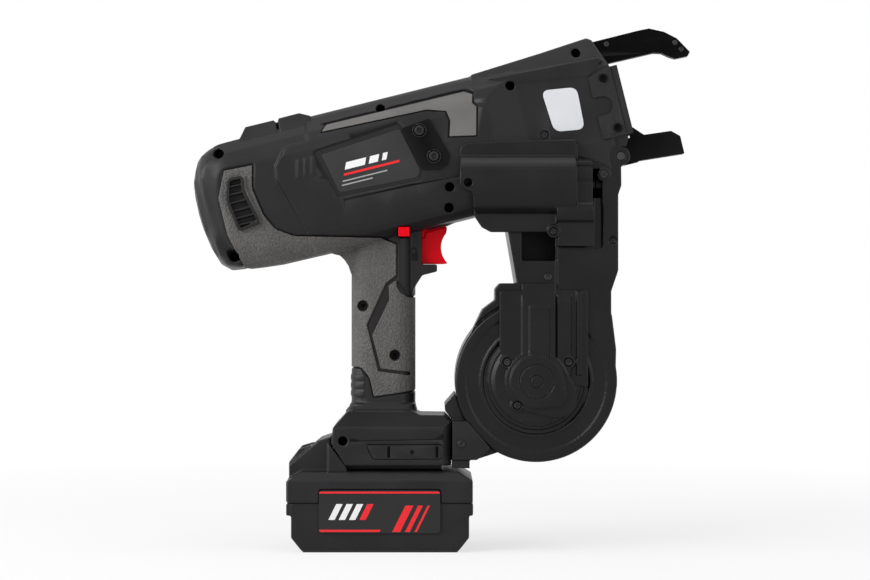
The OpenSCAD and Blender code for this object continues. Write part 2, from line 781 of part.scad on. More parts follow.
// Twist motor
module motor_stator() {
    color(copper) on_barrel() difference() {
        rod_x(motor_u, motor_u + motor_len, 0, 0, motor_d / 2);
        rod_x(motor_u - past, motor_u + motor_len + past, 0, 0, stator_bore_r);
    }
}
fan_u = 8;
fan_w = 7;
fan_r = motor_d / 2 - 4;
module rotor_shaft() {
    color(bright_steel) on_barrel() {
        rod_x(fan_u, gear_u + past, 0, 0, shaft_d / 2);
        along(gear_u, gear_u + gear_w) polygon(gear_points(sun_teeth, sun_r - gear_root, sun_r + gear_tip));
    }
}
module rotor_core() {
    color(copper) on_barrel() difference() {
        rod_x(motor_u + 2, motor_u + motor_len - 2, 0, 0, stator_bore_r - slide_fit);
        rod_x(motor_u, motor_u + motor_len, 0, 0, shaft_d / 2 + seat_fit / 2);
    }
}
fan_blades = 9;
module cooling_fan() {
    color(grey_plastic) on_barrel() difference() {
        union() {
            rod_x(fan_u + 1, fan_u + fan_w, 0, 0, shaft_d / 2 + 4);
            rod_x(fan_u + fan_w - 2, fan_u + fan_w, 0, 0, fan_r);
            for (i = [0 : fan_blades - 1]) rotate([i * 360 / fan_blades, 0, 0])
                box([fan_u + 1.5, -0.7, shaft_d / 2 + 2], [fan_u + fan_w - 1, 0.7, fan_r - 1]);
        }
        rod_x(fan_u, fan_u + fan_w + past, 0, 0, shaft_d / 2 + seat_fit / 2);
    }
}
module bearing(u, bore_r, outer_r) {
    difference() {
        rod_x(u, u + bearing_w, 0, 0, outer_r);
        rod_x(u - past, u + bearing_w + past, 0, 0, bore_r);
    }
}
module ball_bearings() {
    color(bright_steel) on_barrel() {
        for (u = bearing_us) bearing(u, shaft_d / 2 + run_fit, bearing_r);
        bearing(output_bearing_u, output_r + run_fit, output_bearing_r);
    }
}

// Planetary gearbox
module ring_gear() {
    color(bright_steel) on_barrel() difference() {
        rod_x(ring_u, ring_u + ring_w, 0, 0, ring_r);
        along(ring_u - past, ring_u + ring_w + past)
            polygon(gear_points(ring_teeth, ring_pitch_r + gear_root, ring_pitch_r - gear_tip));
    }
}
module planet_gear(index) {
    color(bright_steel) on_barrel() rotate([index * 120, 0, 0]) translate([0, orbit_r, 0])
        along(gear_u, gear_u + gear_w) difference() {
            rotate(180 / planet_teeth) polygon(gear_points(planet_teeth, planet_r - gear_root, planet_r + gear_tip));
            circle(r = planet_pin_r + run_fit);
        }
}
module planet_gear_1() {
    planet_gear(0);
}
module planet_gear_2() {
    planet_gear(1);
}
module planet_gear_3() {
    planet_gear(2);
}
output_end = sleeve_u + sleeve_len - 8;
module gear_carrier() {
    color(bright_steel) on_barrel() {
        rod_x(carrier_u, carrier_u + carrier_w, 0, 0, orbit_r + planet_pin_r + 2);
        rod_x(carrier_u, output_end, 0, 0, output_r);
        for (i = [0 : 2]) rotate([i * 120, 0, 0]) rod_x(gear_u, carrier_u + past, orbit_r, 0, planet_pin_r);
    }
}

// Twist sleeve on the output shaft, with the centre blade between two hinged hooks
sleeve_head = 6;
blade_t = 3;
blade_len = 24;
hook_t = 3;
hook_h = 9;
hook_pin_u = sleeve_u + sleeve_len + 4;
hook_pin_y = blade_t / 2 + hook_t / 2 + 1.5;
hook_open = 14;
module twist_sleeve() {
    color(bright_steel) on_barrel() difference() {
        union() {
            rod_x(sleeve_u, sleeve_u + sleeve_len, 0, 0, sleeve_r);
            box([sleeve_u + sleeve_len - past, -blade_t / 2, -hook_h / 2],
                [sleeve_u + sleeve_len + blade_len, blade_t / 2, hook_h / 2]);
            for (y = [-hook_pin_y, hook_pin_y])
                box([sleeve_u + sleeve_len - past, y - hook_t / 2 - 1, hook_h / 2 + slide_fit],
                    [hook_pin_u + 3, y + hook_t / 2 + 1, hook_h / 2 + 2]);
        }
        rod_x(sleeve_u - past, sleeve_u + sleeve_len - sleeve_head + past, 0, 0, output_r + slide_fit);
        for (y = [-hook_pin_y, hook_pin_y])
            translate([hook_pin_u, y, 0]) cylinder(r = 1.1, h = big);
    }
}
module hook(side) {
    color(bright_steel) on_barrel() translate([hook_pin_u, side * hook_pin_y, 0]) rotate([0, 0, side * hook_open]) {
        box([-1.8, -hook_t / 2, -hook_h / 2], [blade_len - 4, hook_t / 2, hook_h / 2]);
        translate([0, 0, hook_h / 2 - past]) cylinder(r = 1.1 - run_fit, h = past + 2);
    }
}
module near_hook() {
    hook(-1);
}
module far_hook() {
    hook(1);
}

// Trigger, its spring and switch, and the cross-slide lock button
trigger_top = under(handle_front) - 6;
stem_rear = switch_front + trigger_travel + 1;
stem_low = rest_z + 4;
stem_high = rest_z + 13;
module trigger() {
    nose = handle_front + 20.5;
    tip = under(nose - trigger_travel) - 2 * slide_fit;
    heel = handle_front + trigger_travel + 0.9;
    mid = (rest_z + tip) / 2;
    finger_side = concat(
        [[handle_front - 2, rest_z + slide_fit], [handle_front + 18, rest_z + slide_fit]],
        arc([handle_front + 31, mid - 1], 14.5, 225, 140, 8),
        [[nose, tip], [heel, under(heel - trigger_travel) - 2 * slide_fit], [heel - 0.7, under(handle_front) - 4],
            [handle_front - 2, trigger_top]]
    );
    color(trigger_red) {
        prism(-trigger_half, trigger_half) polygon(finger_side);
        box([stem_rear, -trigger_half, stem_low], [handle_front, trigger_half, stem_high]);
    }
}
trigger_spring_r = 3;
module trigger_spring() {
    mid = (stem_low + stem_high) / 2;
    color(bright_steel) difference() {
        rod_x(switch_front, stem_rear, 0, mid, trigger_spring_r);
        rod_x(switch_front - past, stem_rear + past, 0, mid, trigger_spring_r - 1);
    }
}
module trigger_switch() {
    half = handle_w / 2 - wall - slide_fit;
    color(black_plastic) intersection() {
        box([handle_rear, -half, rest_z + 1], [switch_front, half, rest_z + 15]);
        handle_block(wall + slide_fit);
    }
}
lock_half = 28;
module lock_button() {
    color(trigger_red)
        box([lock_x - lock_w / 2, -lock_half, lock_z - lock_h / 2],
            [lock_x + lock_w / 2, lock_half - lock_travel, lock_z + lock_h / 2]);
}
board_z = rail_top + 5;
module controller_board() {
    half = foot_w / 2 - wall - slide_fit;
    color(board_green) {
        box([foot_rear + 17, -half, board_z], [foot_front - wall - slide_fit, half, board_z + 1.6]);
        box([foot_rear + 22, -18, board_z + 1.6], [foot_rear + 46, 18, board_z + 8]);
        box([foot_rear + 20, -12, rail_top + 0.6], [foot_rear + 40, 12, board_z]);
    }
}

// Magazine frame: reel arm, wire column and drum, on the underside of the head
drum_r = drum_d / 2;
hub_r = hub_d / 2;
column_x = reel_x + drum_r + 0.7;
arm_x = reel_x - 12.2;
arm_top_x = reel_x - 17.9;
drum_far = head_half - 6;
bulkhead_w = 3;
gear_x = feed_motor_end + bulkhead_w + 1.5;
feed_gear_w = 7;
roller_x = gear_x + feed_gear_w + 3;
roller_w = 7;
wire_x = roller_x + roller_w / 2;
bulkhead_xs = [feed_motor_end, roller_x + roller_w + 2.5];
feed_shaft_r = 2.5;
pinion_shaft_r = 2;
tube_r = 2.2;
tube_rib_z = feed_z - 38;
frame_side = concat(
    [
        [arm_x, reel_z + 20], [column_x - 4.4, reel_z + 20], [column_x - 4.4, reel_z + 57],
        [column_x, reel_z + 70], [column_x, feed_z - 7.4], [column_x + 2, feed_z - 1.4],
        [column_x + 1.8, feed_z + 10.6],
    ],
    all_at_uv([[head_end - 4, -head_low], [frame_u, -head_low], [frame_u, -barrel_down]]),
    [[arm_top_x, under(arm_top_x)], [arm_top_x, feed_z - 30.4], [arm_x, reel_z + 62]]
);
// The column's foot, where it runs into the drum, and the lug at the drum's upper rear
column_foot_side = [
    [column_x - 7.2, reel_z + 8], [column_x - 1.6, reel_z + 8], [column_x - 1.3, reel_z + 20],
    [column_x - 4, reel_z + 42], [column_x - 7.2, reel_z + 42],
];
lug_side = [
    [reel_x - 42, reel_z + 29], [reel_x - 13, reel_z + 30], [reel_x - 13, reel_z + 62], [reel_x - 23, reel_z + 62],
    [reel_x - 26, reel_z + 58.5], [reel_x - 26, reel_z + 51.5], [reel_x - 34, reel_z + 45.5],
];
module drum_disc(r) {
    translate([reel_x, reel_z]) circle(r = r, $fn = 96);
}
module low_pin_hole(extra) {
    on_barrel() rod_y(low_pivot.x, -big / 2, big / 2, low_pivot.y, low_pin_r + extra);
}
module magazine_frame() {
    color(black_plastic) difference() {
        union() {
            difference() {
                prism(-head_half, head_half) polygon(frame_side);
                prism(wall - head_half, big / 2) difference() {
                    polygon(drawn_in(frame_side, wall));
                    drum_disc(drum_r);
                }
                prism(drum_far, big / 2) drum_disc(drum_r + slide_fit);
            }
            prism(-head_half, drum_far) drum_disc(drum_r);
            prism(-head_half, drum_far) polygon(column_foot_side);
            prism(-head_half, 0) polygon(lug_side);
            for (x = bulkhead_xs)
                box([x, sink - head_half, feed_z - 19], [x + bulkhead_w, head_half - wall, feed_z + 14]);
            box([wire_x - 14, sink - head_half, tube_rib_z], [column_x - wall + sink, head_half - wall, tube_rib_z + 3]);
            for (side = [-1, 1]) on_side(side) on_barrel()
                rod_y(low_pivot.x, -head_half, -low_guide_half - slide_fit, low_pivot.y, low_lug_r + 0.5);
        }
        prism(wall - head_half, big / 2) drum_disc(drum_r - wall);
        // Raised rings on the drum's near face stand between these grooves
        for (r = [drum_r - 7, drum_r - 17.5]) prism(-head_half - past, 0.8 - head_half) difference() {
            drum_disc(r);
            drum_disc(r - 1.8);
        }
        rod_y(reel_x, -big / 2, 0, reel_z, hub_r + seat_fit);
        low_pin_hole(seat_fit);
        // Room for the lower guide's lug
        on_barrel() box([head_end - 14, -low_guide_half - slide_fit, low_guide_top - 18.25],
            [head_end + 5, low_guide_half + slide_fit, past - head_low]);
        // Opening for the feed motor and its pinion
        box([feed_motor_x - 3, -big / 2, feed_z - feed_motor_r - 1],
            [feed_motor_end, feed_y + feed_motor_r + 1, feed_z + feed_motor_r + 1]);
        box([feed_motor_end + bulkhead_w, -big / 2, feed_z - feed_pinion_r - 2],
            [bulkhead_xs[1], wall - head_half + past, feed_z + feed_pinion_r + 2]);
        rod_x(feed_motor_end - past, gear_x, feed_y, feed_z, pinion_shaft_r + 1);
        for (y = [-roller_y, roller_y])
            rod_x(feed_motor_end - past, bulkhead_xs[1] + bulkhead_w + past, y, feed_z, feed_shaft_r + run_fit);
        translate([wire_x, 0, reel_z]) cylinder(r = tube_r + seat_fit, h = feed_z - reel_z);
        for (p = concat(feed_screw_points, magazine_screw_points))
            translate([p.x, 0, p.y]) rod_y(0, -head_half - past, wall - head_half + past, 0, screw_r + seat_fit);
    }
}

// Wire feed
module feed_motor() {
    color(bright_steel) difference() {
        union() {
            rod_x(feed_motor_x, feed_motor_end, feed_y, feed_z, feed_motor_r);
            rod_x(feed_motor_x - 2, feed_motor_x + past, feed_y, feed_z, feed_motor_r - 7);
        }
        rod_x(feed_motor_end - 20, feed_motor_end + past, feed_y, feed_z, pinion_shaft_r + run_fit);
    }
}
module feed_pinion() {
    color(bright_steel) {
        rod_x(feed_motor_end - 18, gear_x + past, feed_y, feed_z, pinion_shaft_r);
        translate([0, feed_y, feed_z]) along(gear_x, gear_x + feed_gear_w)
            polygon(gear_points(feed_pinion_teeth, feed_pinion_r - gear_root, feed_pinion_r + gear_tip));
    }
}
module roller(y) {
    rod_x(bulkhead_xs[0] + 0.5, bulkhead_xs[1] + bulkhead_w, y, feed_z, feed_shaft_r);
    translate([roller_x, y, feed_z]) rotate([0, 90, 0]) rotate_extrude() polygon([
        [feed_shaft_r - past, 0], [roller_d / 2, 0], [roller_d / 2, roller_w / 2 - wire_d / 2],
        [roller_d / 2 - wire_d / 2, roller_w / 2], [roller_d / 2, roller_w / 2 + wire_d / 2],
        [roller_d / 2, roller_w], [feed_shaft_r - past, roller_w],
    ]);
}
module drive_roller() {
    color(bright_steel) {
        roller(-roller_y);
        translate([0, -roller_y, feed_z]) along(gear_x + 0.5, gear_x + feed_gear_w - 0.5) rotate(180 / feed_gear_teeth)
            polygon(gear_points(feed_gear_teeth, feed_gear_r - gear_root, feed_gear_r + gear_tip));
    }
}
module idler_roller() {
    color(bright_steel) roller(roller_y);
}
tube_low = reel_z + sqrt(pow(drum_r - wall, 2) - pow(wire_x - reel_x, 2)) + 3;
module wire_tube() {
    color(bright_steel) translate([wire_x, 0, tube_low]) difference() {
        cylinder(r = tube_r, h = feed_z - roller_d / 2 - 1.5 - tube_low);
        translate([0, 0, -past]) cylinder(r = wire_d, h = feed_z);
    }
}

// Cover over the feed motor and its gears
cover_r = feed_motor_r + 4;
cover_wall = 2.5;
cover_left = feed_motor_x - 15;
cover_right = feed_motor_end + 4.5;
cover_side = [
    [cover_left + 9, feed_z - 15.5], [cover_left + 11, feed_z - 22], [cover_left + 15, feed_z - 27.5],
    [cover_left + 21, feed_z - 29.8], [cover_right, feed_z - 29.8],
    [cover_right, feed_z + 27], [cover_right - 13, feed_z + 28.4], [cover_left + 6, feed_z + 26.2],
    [cover_left, feed_z + 23], [cover_left, feed_z - 3], [cover_left + 9, feed_z - 8],
];
gear_bulge_side = [
    [cover_right - 12, feed_z - 40], [cover_right + 4, feed_z - 34], [cover_right + 10.5, feed_z - 24],
    [cover_right + 10.5, feed_z + 14], [cover_right - 12, feed_z + 14],
];
cover_rim = -barrel_half - cover_wall;
cover_section = concat(
    [[20, feed_z - 32], [20, feed_z + 28.5], [cover_rim, feed_z + 28.5]],
    arc([feed_y - 1.5, feed_z], cover_r, 135, 225, 10),
    [[cover_rim, feed_z - 32]]
);
gear_bulge_h = 8;
cover_screw_len = 4.5;
// Places of the cover screws: X, Z and the Y of the seat under the head
feed_screw_points = [
    [cover_left + 5, feed_z, cover_rim], [cover_right - 14, feed_z - 26, -head_half - cover_wall],
    [cover_right - 20, feed_z + 24, -head_half - cover_wall], [cover_right + 2, feed_z - 29, -head_half - cover_wall],
];
module cover_form(inset, back) {
    intersection() {
        prism(-big / 2, back) polygon(drawn_in(cover_side, inset));
        along(-big, big) polygon(drawn_in(cover_section, inset));
    }
    prism(inset - head_half - gear_bulge_h, back) polygon(drawn_in(gear_bulge_side, inset));
}
module cover_screw_holes(points) {
    for (p = points) translate([p.x, p[2], p.y]) {
        rod_y(0, -past, cover_screw_len + seat_fit, 0, screw_r + seat_fit);
        rod_y(0, -big / 4, 0, 0, screw_head_r + slide_fit);
    }
}
module feed_cover() {
    color(black_plastic) difference() {
        union() {
            difference() {
                cover_form(0, -head_half);
                cover_form(cover_wall, past - head_half);
            }
            intersection() {
                cover_form(0, -head_half);
                for (p = feed_screw_points) rod_y(p.x, -big / 4, -head_half, p.y, boss_r);
            }
        }
        barrel_block(-seat_fit);
        cover_screw_holes(feed_screw_points);
    }
}

// Cover on the drum's near side, with the hub boss
cover_plate_t = 4;
hub_boss_r = 16.5;
magazine_cover_side = [
    [reel_x - 18, reel_z - 12], [reel_x - 9, reel_z - 24], [reel_x + 10, reel_z - 26], [reel_x + 27, reel_z - 16],
    [reel_x + 33, reel_z - 4], [reel_x + 33, reel_z + 53], [reel_x + 29, reel_z + 58], [reel_x - 19, reel_z + 58],
    [reel_x - 23, reel_z + 54], [reel_x - 23, reel_z + 8],
];
magazine_seat = -head_half - cover_plate_t / 2;
magazine_screw_points = [
    [reel_x - 18.5, reel_z + 12.3, magazine_seat], [reel_x + 20.4, reel_z + 12.3, magazine_seat],
    [reel_x - 12, reel_z - 15, magazine_seat],
];
rib_xs = [-9, -1, 8, 17];
module magazine_cover() {
    face = -head_half - cover_plate_t;
    color(black_plastic) difference() {
        union() {
            prism(face, -head_half) polygon(magazine_cover_side);
            rod_y(reel_x, face - 4, face + past, reel_z, hub_boss_r);
            prism(face - 2.5, face + past)
                polygon([
                    [reel_x - 10, reel_z], [reel_x + 12, reel_z - 18], [reel_x + 22, reel_z - 4],
                    [reel_x + 14, reel_z + 8],
                ]);
            for (x = rib_xs) box([reel_x + x, face - 2, reel_z + 8], [reel_x + x + 3, face + past, reel_z + 56]);
        }
        rod_y(reel_x, face - 5, face - 3, reel_z, hub_boss_r - 4);
        cover_screw_holes(magazine_screw_points);
    }
}
module cover_screws() {
    color(bright_steel) for (p = concat(feed_screw_points, magazine_screw_points)) translate([p.x, p[2], p.y])
        one_screw(screw_r, screw_head_r, 1.6, cover_screw_len);
}

// Far side of the frame: fixed cover with the hinge of the reel door
door_z = reel_z + drum_r + 8;
knuckle_r = 3.3;
hinge_y = head_half + knuckle_r + 0.4;
hinge_half = 9;
door_knuckle_half = 5;
door_pin_r = 1.5;
module frame_cover() {
    color(black_plastic) difference() {
        union() {
            prism(head_half - wall, head_half) difference() {
                polygon(drawn_in(frame_side, wall + seat_fit));
                drum_disc(drum_r + slide_fit);
            }
            for (side = [-1, 1]) {
                x0 = side < 0 ? reel_x - hinge_half : reel_x + door_knuckle_half + slide_fit;
                x1 = x0 + hinge_half - door_knuckle_half - slide_fit;
                rod_x(x0, x1, hinge_y, door_z, knuckle_r);
                box([x0, head_half - past, door_z - 2], [x1, hinge_y, door_z + 2]);
            }
        }
        rod_x(reel_x - big / 4, reel_x + big / 4, hinge_y, door_z, door_pin_r + seat_fit);
        on_barrel() box([head_end - 14, -past, low_guide_top - 18.25], [head_end + 5, head_half - 1.2, past - head_low]);
        low_pin_hole(seat_fit);
        on_barrel() rod_y(low_pivot.x, 0, big, low_pivot.y, low_lug_r + 0.5 + seat_fit);
    }
}
module door_pin() {
    color(bright_steel) rod_x(reel_x - hinge_half, reel_x + hinge_half, hinge_y, door_z, door_pin_r);
}
door_t = 3;
module reel_door() {
    face = drum_far + slide_fit + door_t;
    tab_y = head_half + slide_fit;
    color(black_plastic) difference() {
        union() {
            prism(drum_far + slide_fit, face) drum_disc(drum_r);
            prism(face - past, face + 2) drum_disc(drum_r * 0.55);
            box([reel_x - door_knuckle_half, face - past, reel_z + 30],
                [reel_x + door_knuckle_half, tab_y + 2.2, reel_z + drum_r - 4]);
            box([reel_x - door_knuckle_half, tab_y, reel_z + drum_r - 5],
                [reel_x + door_knuckle_half, tab_y + 2.2, door_z]);
            rod_x(reel_x - door_knuckle_half, reel_x + door_knuckle_half, hinge_y, door_z, knuckle_r);
        }
        rod_x(reel_x - big / 4, reel_x + big / 4, hinge_y, door_z, door_pin_r + run_fit);
    }
}

// Reel on its hub shaft, with the wound wire
reel_near = wall - head_half + 2.7;
reel_far = reel_near + reel_w;
reel_flange = 2.5;
reel_core_r = 22;
winding_r = reel_core_r + winding_build;
module hub_shaft() {
    color(bright_steel) {
        rod_y(reel_x, -head_half, reel_far + 1, reel_z, hub_r);
        rod_y(reel_x, wall - head_half, reel_near - slide_fit, reel_z, hub_r + 4);
    }
}
module wire_reel() {
    color(black_plastic) difference() {
        union() {
            for (y = [reel_near, reel_far - reel_flange]) rod_y(reel_x, y, y + reel_flange, reel_z, reel_d / 2);
            rod_y(reel_x, reel_near, reel_far, reel_z, reel_core_r);
        }
        rod_y(reel_x, -big / 4, big / 4, reel_z, hub_r + run_fit);
    }
}
module wire_winding() {
    color(bright_steel) difference() {
        rod_y(reel_x, reel_near + reel_flange, reel_far - reel_flange, reel_z, winding_r);
        rod_y(reel_x, -big / 4, big / 4, reel_z, reel_core_r + seat_fit);
    }
}

// Saddle between the foot and the drum
saddle_half = 24;
saddle_side = [
    [foot_front, foot_z + 3.4], [foot_front + 16, foot_z + 3.4], [foot_front + 30, foot_z + 8],
    [foot_front + 26, foot_z + 14], [foot_front + 3, foot_z + 44], [foot_front + 1, foot_z + 47],
    [foot_front - 5, foot_z + 46], [foot_front - 4, foot_top + 0.4], [foot_front, foot_top - 4.6],
];
module saddle() {
    color(black_steel) prism(-saddle_half, saddle_half) difference() {
        polygon(saddle_side);
        drum_disc(drum_r + seat_fit);
    }
}

// Battery: two case halves, the cells, the label and the latch
battery_half = battery_len / 2;
low_half = battery_half - 2.3;
case_half_w = battery_w / 2;
low_half_w = case_half_w - 1.5;
base_chamfer = [7.5, 9.5];
low_case_side = [
    [base_chamfer.x - low_half, 0], [low_half - base_chamfer.x, 0], [low_half, base_chamfer.y],
    [low_half, battery_seam], [-low_half, battery_seam], [-low_half, base_chamfer.y],
];
side_chamfer = 2.5;
low_case_end = [
    [side_chamfer - low_half_w, 0], [low_half_w - side_chamfer, 0], [low_half_w, side_chamfer],
    [low_half_w, battery_seam], [-low_half_w, battery_seam], [-low_half_w, side_chamfer],
];
module low_case_form(inset) {
    intersection() {
        prism(-big, big) polygon(drawn_in(low_case_side, inset));
        along(-big, big) polygon(drawn_in(low_case_end, inset));
    }
}
module battery_lower_case() {
    color(black_plastic) difference() {
        low_case_form(0);
        low_case_form(battery_wall);
        box([battery_wall - low_half, battery_wall - low_half_w, battery_seam - battery_wall - past],
            [low_half - battery_wall, low_half_w - battery_wall, battery_seam + past]);
    }
}
ramp_half = 26;
ramp_front = foot_rear - 0.8;
ramp_top = battery_h + 21.5;
up_case_side = [
    [-battery_half, battery_seam], [battery_half, battery_seam], [battery_half, battery_h - 5.5],
    [battery_half - 9, battery_h], [9 - battery_half, battery_h], [-battery_half, battery_h - 5.5],
];
up_case_end = [
    [-case_half_w, battery_seam], [case_half_w, battery_seam], [case_half_w, battery_h - 5.5],
    [case_half_w - 5.5, battery_h], [5.5 - case_half_w, battery_h], [-case_half_w, battery_h - 5.5],
];
ramp_side = [
    [0.5 - battery_half, battery_h - 6], [ramp_front, battery_h - 6], [ramp_front, ramp_top],
    [ramp_front - 7.5, ramp_top - 2.5], [0.5 - battery_half, battery_h + 3.5],
];
latch_rear = 4 - battery_half;
latch_front = latch_rear + 14;
latch_half = 11;
latch_travel = 2.6;
latch_low = rail_top - 2.5;
latch_bar_z = rail_top + slide_fit;
label_half = 38.5;
label_low = 12.5;
label_high = 40;
module up_case_form(inset) {
    intersection() {
        prism(-big, big) polygon(drawn_in(up_case_side, inset));
        along(-big, big) polygon(drawn_in(up_case_end, inset));
    }
}
module battery_upper_case() {
    color(black_plastic) difference() {
        union() {
            up_case_form(0);
            prism(-ramp_half, ramp_half) polygon(ramp_side);
            box([ramp_front - past, -rail_neck_half, battery_h - past],
                [rail_front, rail_neck_half, rail_flange_z + past]);
            box([ramp_front - past, -rail_flange_half, rail_flange_z], [rail_front, rail_flange_half, rail_top]);
        }
        difference() {
            up_case_form(battery_wall);
            box([-big, -big, battery_h - battery_wall], [big, big, big]);
        }
        box([battery_wall - battery_half, battery_wall - case_half_w, battery_seam - past],
            [battery_half - battery_wall, case_half_w - battery_wall, battery_h - 6]);
        // Pocket of the latch and the groove of its bar
        box([latch_rear - slide_fit, -latch_half - slide_fit, latch_low - latch_travel - slide_fit],
            [latch_front + slide_fit, latch_half + slide_fit, big]);
        box([latch_front - past, -latch_bar_half - slide_fit, latch_bar_z - latch_travel - slide_fit],
            [foot_rear + 9, latch_bar_half + slide_fit, latch_bar_z + latch_bar_h + slide_fit]);
        box([-label_half - seat_fit, -case_half_w - past, label_low], [label_half + seat_fit, -low_half_w, label_high + seat_fit]);
    }
}
module battery_latch() {
    latch_side = [
        [latch_rear, latch_low], [latch_front, latch_low], [latch_front, ramp_top - 5.5],
        [latch_rear, battery_h + 5.5 + 3.5],
    ];
    color(black_plastic) {
        prism(-latch_half, latch_half) polygon(latch_side);
        box([latch_front - past, -latch_bar_half, latch_bar_z],
            [foot_rear + 7, latch_bar_half, latch_bar_z + latch_bar_h]);
    }
}
cell_gap = 0.8;
cell_len = battery_w - 10;
module battery_cells() {
    pitch = cell_d + cell_gap;
    color(copper) for (row = [0, 1], column = [-2 : 2])
        rod_y(column * pitch, -cell_len / 2, cell_len / 2, battery_wall + 0.4 + cell_d / 2 + row * pitch, cell_d / 2);
}
module battery_label() {
    color(trigger_red)
        box([-label_half, -case_half_w - 0.4, label_low], [label_half, -low_half_w, label_high]);
}

right_housing();
left_housing();
right_grip();
left_grip();
right_trim();
left_trim();
name_panel();
right_side_plate();
left_side_plate();
right_vent();
left_vent();
top_pads();
power_button();
front_plate();
upper_guide();
guide_rivets();
lower_guide();
lower_guide_pin();
lower_guide_spring();
housing_screws();
plate_screws();
motor_stator();
rotor_shaft();
rotor_core();
cooling_fan();
ball_bearings();
ring_gear();
planet_gear_1();
planet_gear_2();
planet_gear_3();
gear_carrier();
twist_sleeve();
near_hook();
far_hook();
trigger();
trigger_spring();
trigger_switch();
lock_button();
controller_board();
feed_motor();
feed_pinion();
drive_roller();
idler_roller();
feed_cover();
cover_screws();
magazine_frame();
magazine_cover();
frame_cover();
hub_shaft();
wire_reel();
wire_winding();
wire_tube();
reel_door();
door_pin();
saddle();
battery_upper_case();
battery_lower_case();
battery_cells();
battery_label();
battery_latch();
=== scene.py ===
import math

import bmesh
import bpy
import numpy as np
from mathutils import Matrix, Vector


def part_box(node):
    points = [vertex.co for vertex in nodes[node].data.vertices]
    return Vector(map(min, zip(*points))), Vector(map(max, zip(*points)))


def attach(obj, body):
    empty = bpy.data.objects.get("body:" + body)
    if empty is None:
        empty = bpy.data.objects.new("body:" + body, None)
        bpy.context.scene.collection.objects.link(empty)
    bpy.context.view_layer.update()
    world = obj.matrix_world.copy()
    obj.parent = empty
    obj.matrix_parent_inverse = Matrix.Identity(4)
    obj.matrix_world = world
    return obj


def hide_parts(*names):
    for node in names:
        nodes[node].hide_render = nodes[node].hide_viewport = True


# Rebar tying tool: softened mouldings, finishes, fasteners, floor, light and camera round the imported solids.
# Lengths in this file are millimetres unless a name says otherwise.

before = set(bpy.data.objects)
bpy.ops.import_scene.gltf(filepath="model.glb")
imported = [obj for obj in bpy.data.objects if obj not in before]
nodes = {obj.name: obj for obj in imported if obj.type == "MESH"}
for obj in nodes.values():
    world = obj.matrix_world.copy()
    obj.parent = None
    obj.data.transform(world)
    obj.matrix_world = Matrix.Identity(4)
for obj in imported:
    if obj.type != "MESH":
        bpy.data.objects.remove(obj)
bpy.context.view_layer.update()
MM = 0.001

SIDES = (-1, 1)

# The barrel's own frame: u runs along its axis, v across it, from the middle of its rear face.
# What lies below BARREL_LOW in v is the handle.
BARREL_TILT = math.radians(14)
BARREL_REAR = (-107.999, 218.081)
BARREL_LOW = -50.0

# Y of the near face of the head and the magazine, and the reel's axis in the side view
HEAD_FACE = -31.0
REEL = (98.6, 108.0)


def at_uv(u, v):
    """World X and Z of a point in the barrel's frame."""
    c, s = math.cos(BARREL_TILT), math.sin(BARREL_TILT)
    return (BARREL_REAR[0] + u * c - v * s, BARREL_REAR[1] + u * s + v * c)


def all_at_uv(points):
    """A list of points in the barrel's frame, as world X and Z."""
    return [at_uv(u, v) for u, v in points]


# Shader expressions
class Wire:
    """A node's output that takes part in Python expressions."""

    def __init__(self, finish, socket):
        self.finish = finish
        self.socket = socket

    def math(self, operation, *others):
        values = {i: v for i, v in enumerate((self, *others))}
        return self.finish.node("Math", {"operation": operation}, values)

    def __add__(self, other):
        return self.math("ADD", other)

    def __mul__(self, other):
        return self.math("MULTIPLY", other)

    def __sub__(self, other):
        return self.math("SUBTRACT", other)

    def above(self, edge):
        return self.math("GREATER_THAN", edge)

    def below(self, edge):
        return self.math("LESS_THAN", edge)


class Finish:
    """A material's node tree, filled through one method."""

    def __init__(self, name):
        self.material = bpy.data.materials.new(name)
        self.material.use_nodes = True
        self.tree = self.material.node_tree
        self.tree.nodes.clear()

    def node(self, kind, settings=None, inputs=None, output=0):
        made = self.tree.nodes.new("ShaderNode" + kind)
        for key, value in (settings or {}).items():
            setattr(made, key, value)
        for key, value in (inputs or {}).items():
            if isinstance(value, Wire):
                self.tree.links.new(value.socket, made.inputs[key])
            elif isinstance(value, tuple) and len(value) == 3 and made.inputs[key].type == "RGBA":
                made.inputs[key].default_value = (*value, 1)
            else:
                made.inputs[key].default_value = value
        return Wire(self, made.outputs[output]) if made.outputs else None

    def place(self):
        """Position on the piece, in metres."""
        return self.node("TexCoord", output="Object")

    def noise(self, scale, detail=2.0):
        return self.node("TexNoise", inputs={"Vector": self.place(), "Scale": scale, "Detail": detail})

    def cells(self, scale):
        return self.node("TexVoronoi", {"feature": "SMOOTH_F1"}, {"Vector": self.place(), "Scale": scale})

    def axes(self):
        """The three coordinates of the position, as values."""
        split = self.node("SeparateXYZ", inputs={0: self.place()}).socket.node
        return [Wire(self, split.outputs[i]) for i in range(3)]

    def spread(self, value, low, high, out_low=0.0, out_high=1.0):
        """A value carried from one range to another, held at the ends."""
        return self.node("MapRange", {"clamp": True}, {0: value, 1: low, 2: high, 3: out_low, 4: out_high})

    def mix(self, share, first, second):
        return self.node("Mix", {"data_type": "RGBA"}, {0: share, 6: first, 7: second}, output=2)

    def bump(self, height, strength, depth, below=None):
        inputs = {"Height": height, "Strength": strength, "Distance": depth}
        if below is not None:
            inputs["Normal"] = below
        return self.node("Bump", inputs=inputs)

    # Paler convex edges: partly edge wear, partly a painted highlight for the light that catches the edges.
    def edge_wear_and_highlight(self, low=0.52, high=0.62):
        """One on convex edges, nought on the flats."""
        return self.spread(self.node("NewGeometry", output="Pointiness"), low, high)

    def surface(self, **sockets):
        inputs = {key.replace("_", " "): value for key, value in sockets.items()}
        shader = self.node("BsdfPrincipled", inputs=inputs)
        self.node("OutputMaterial", inputs={"Surface": shader})
        return self.material


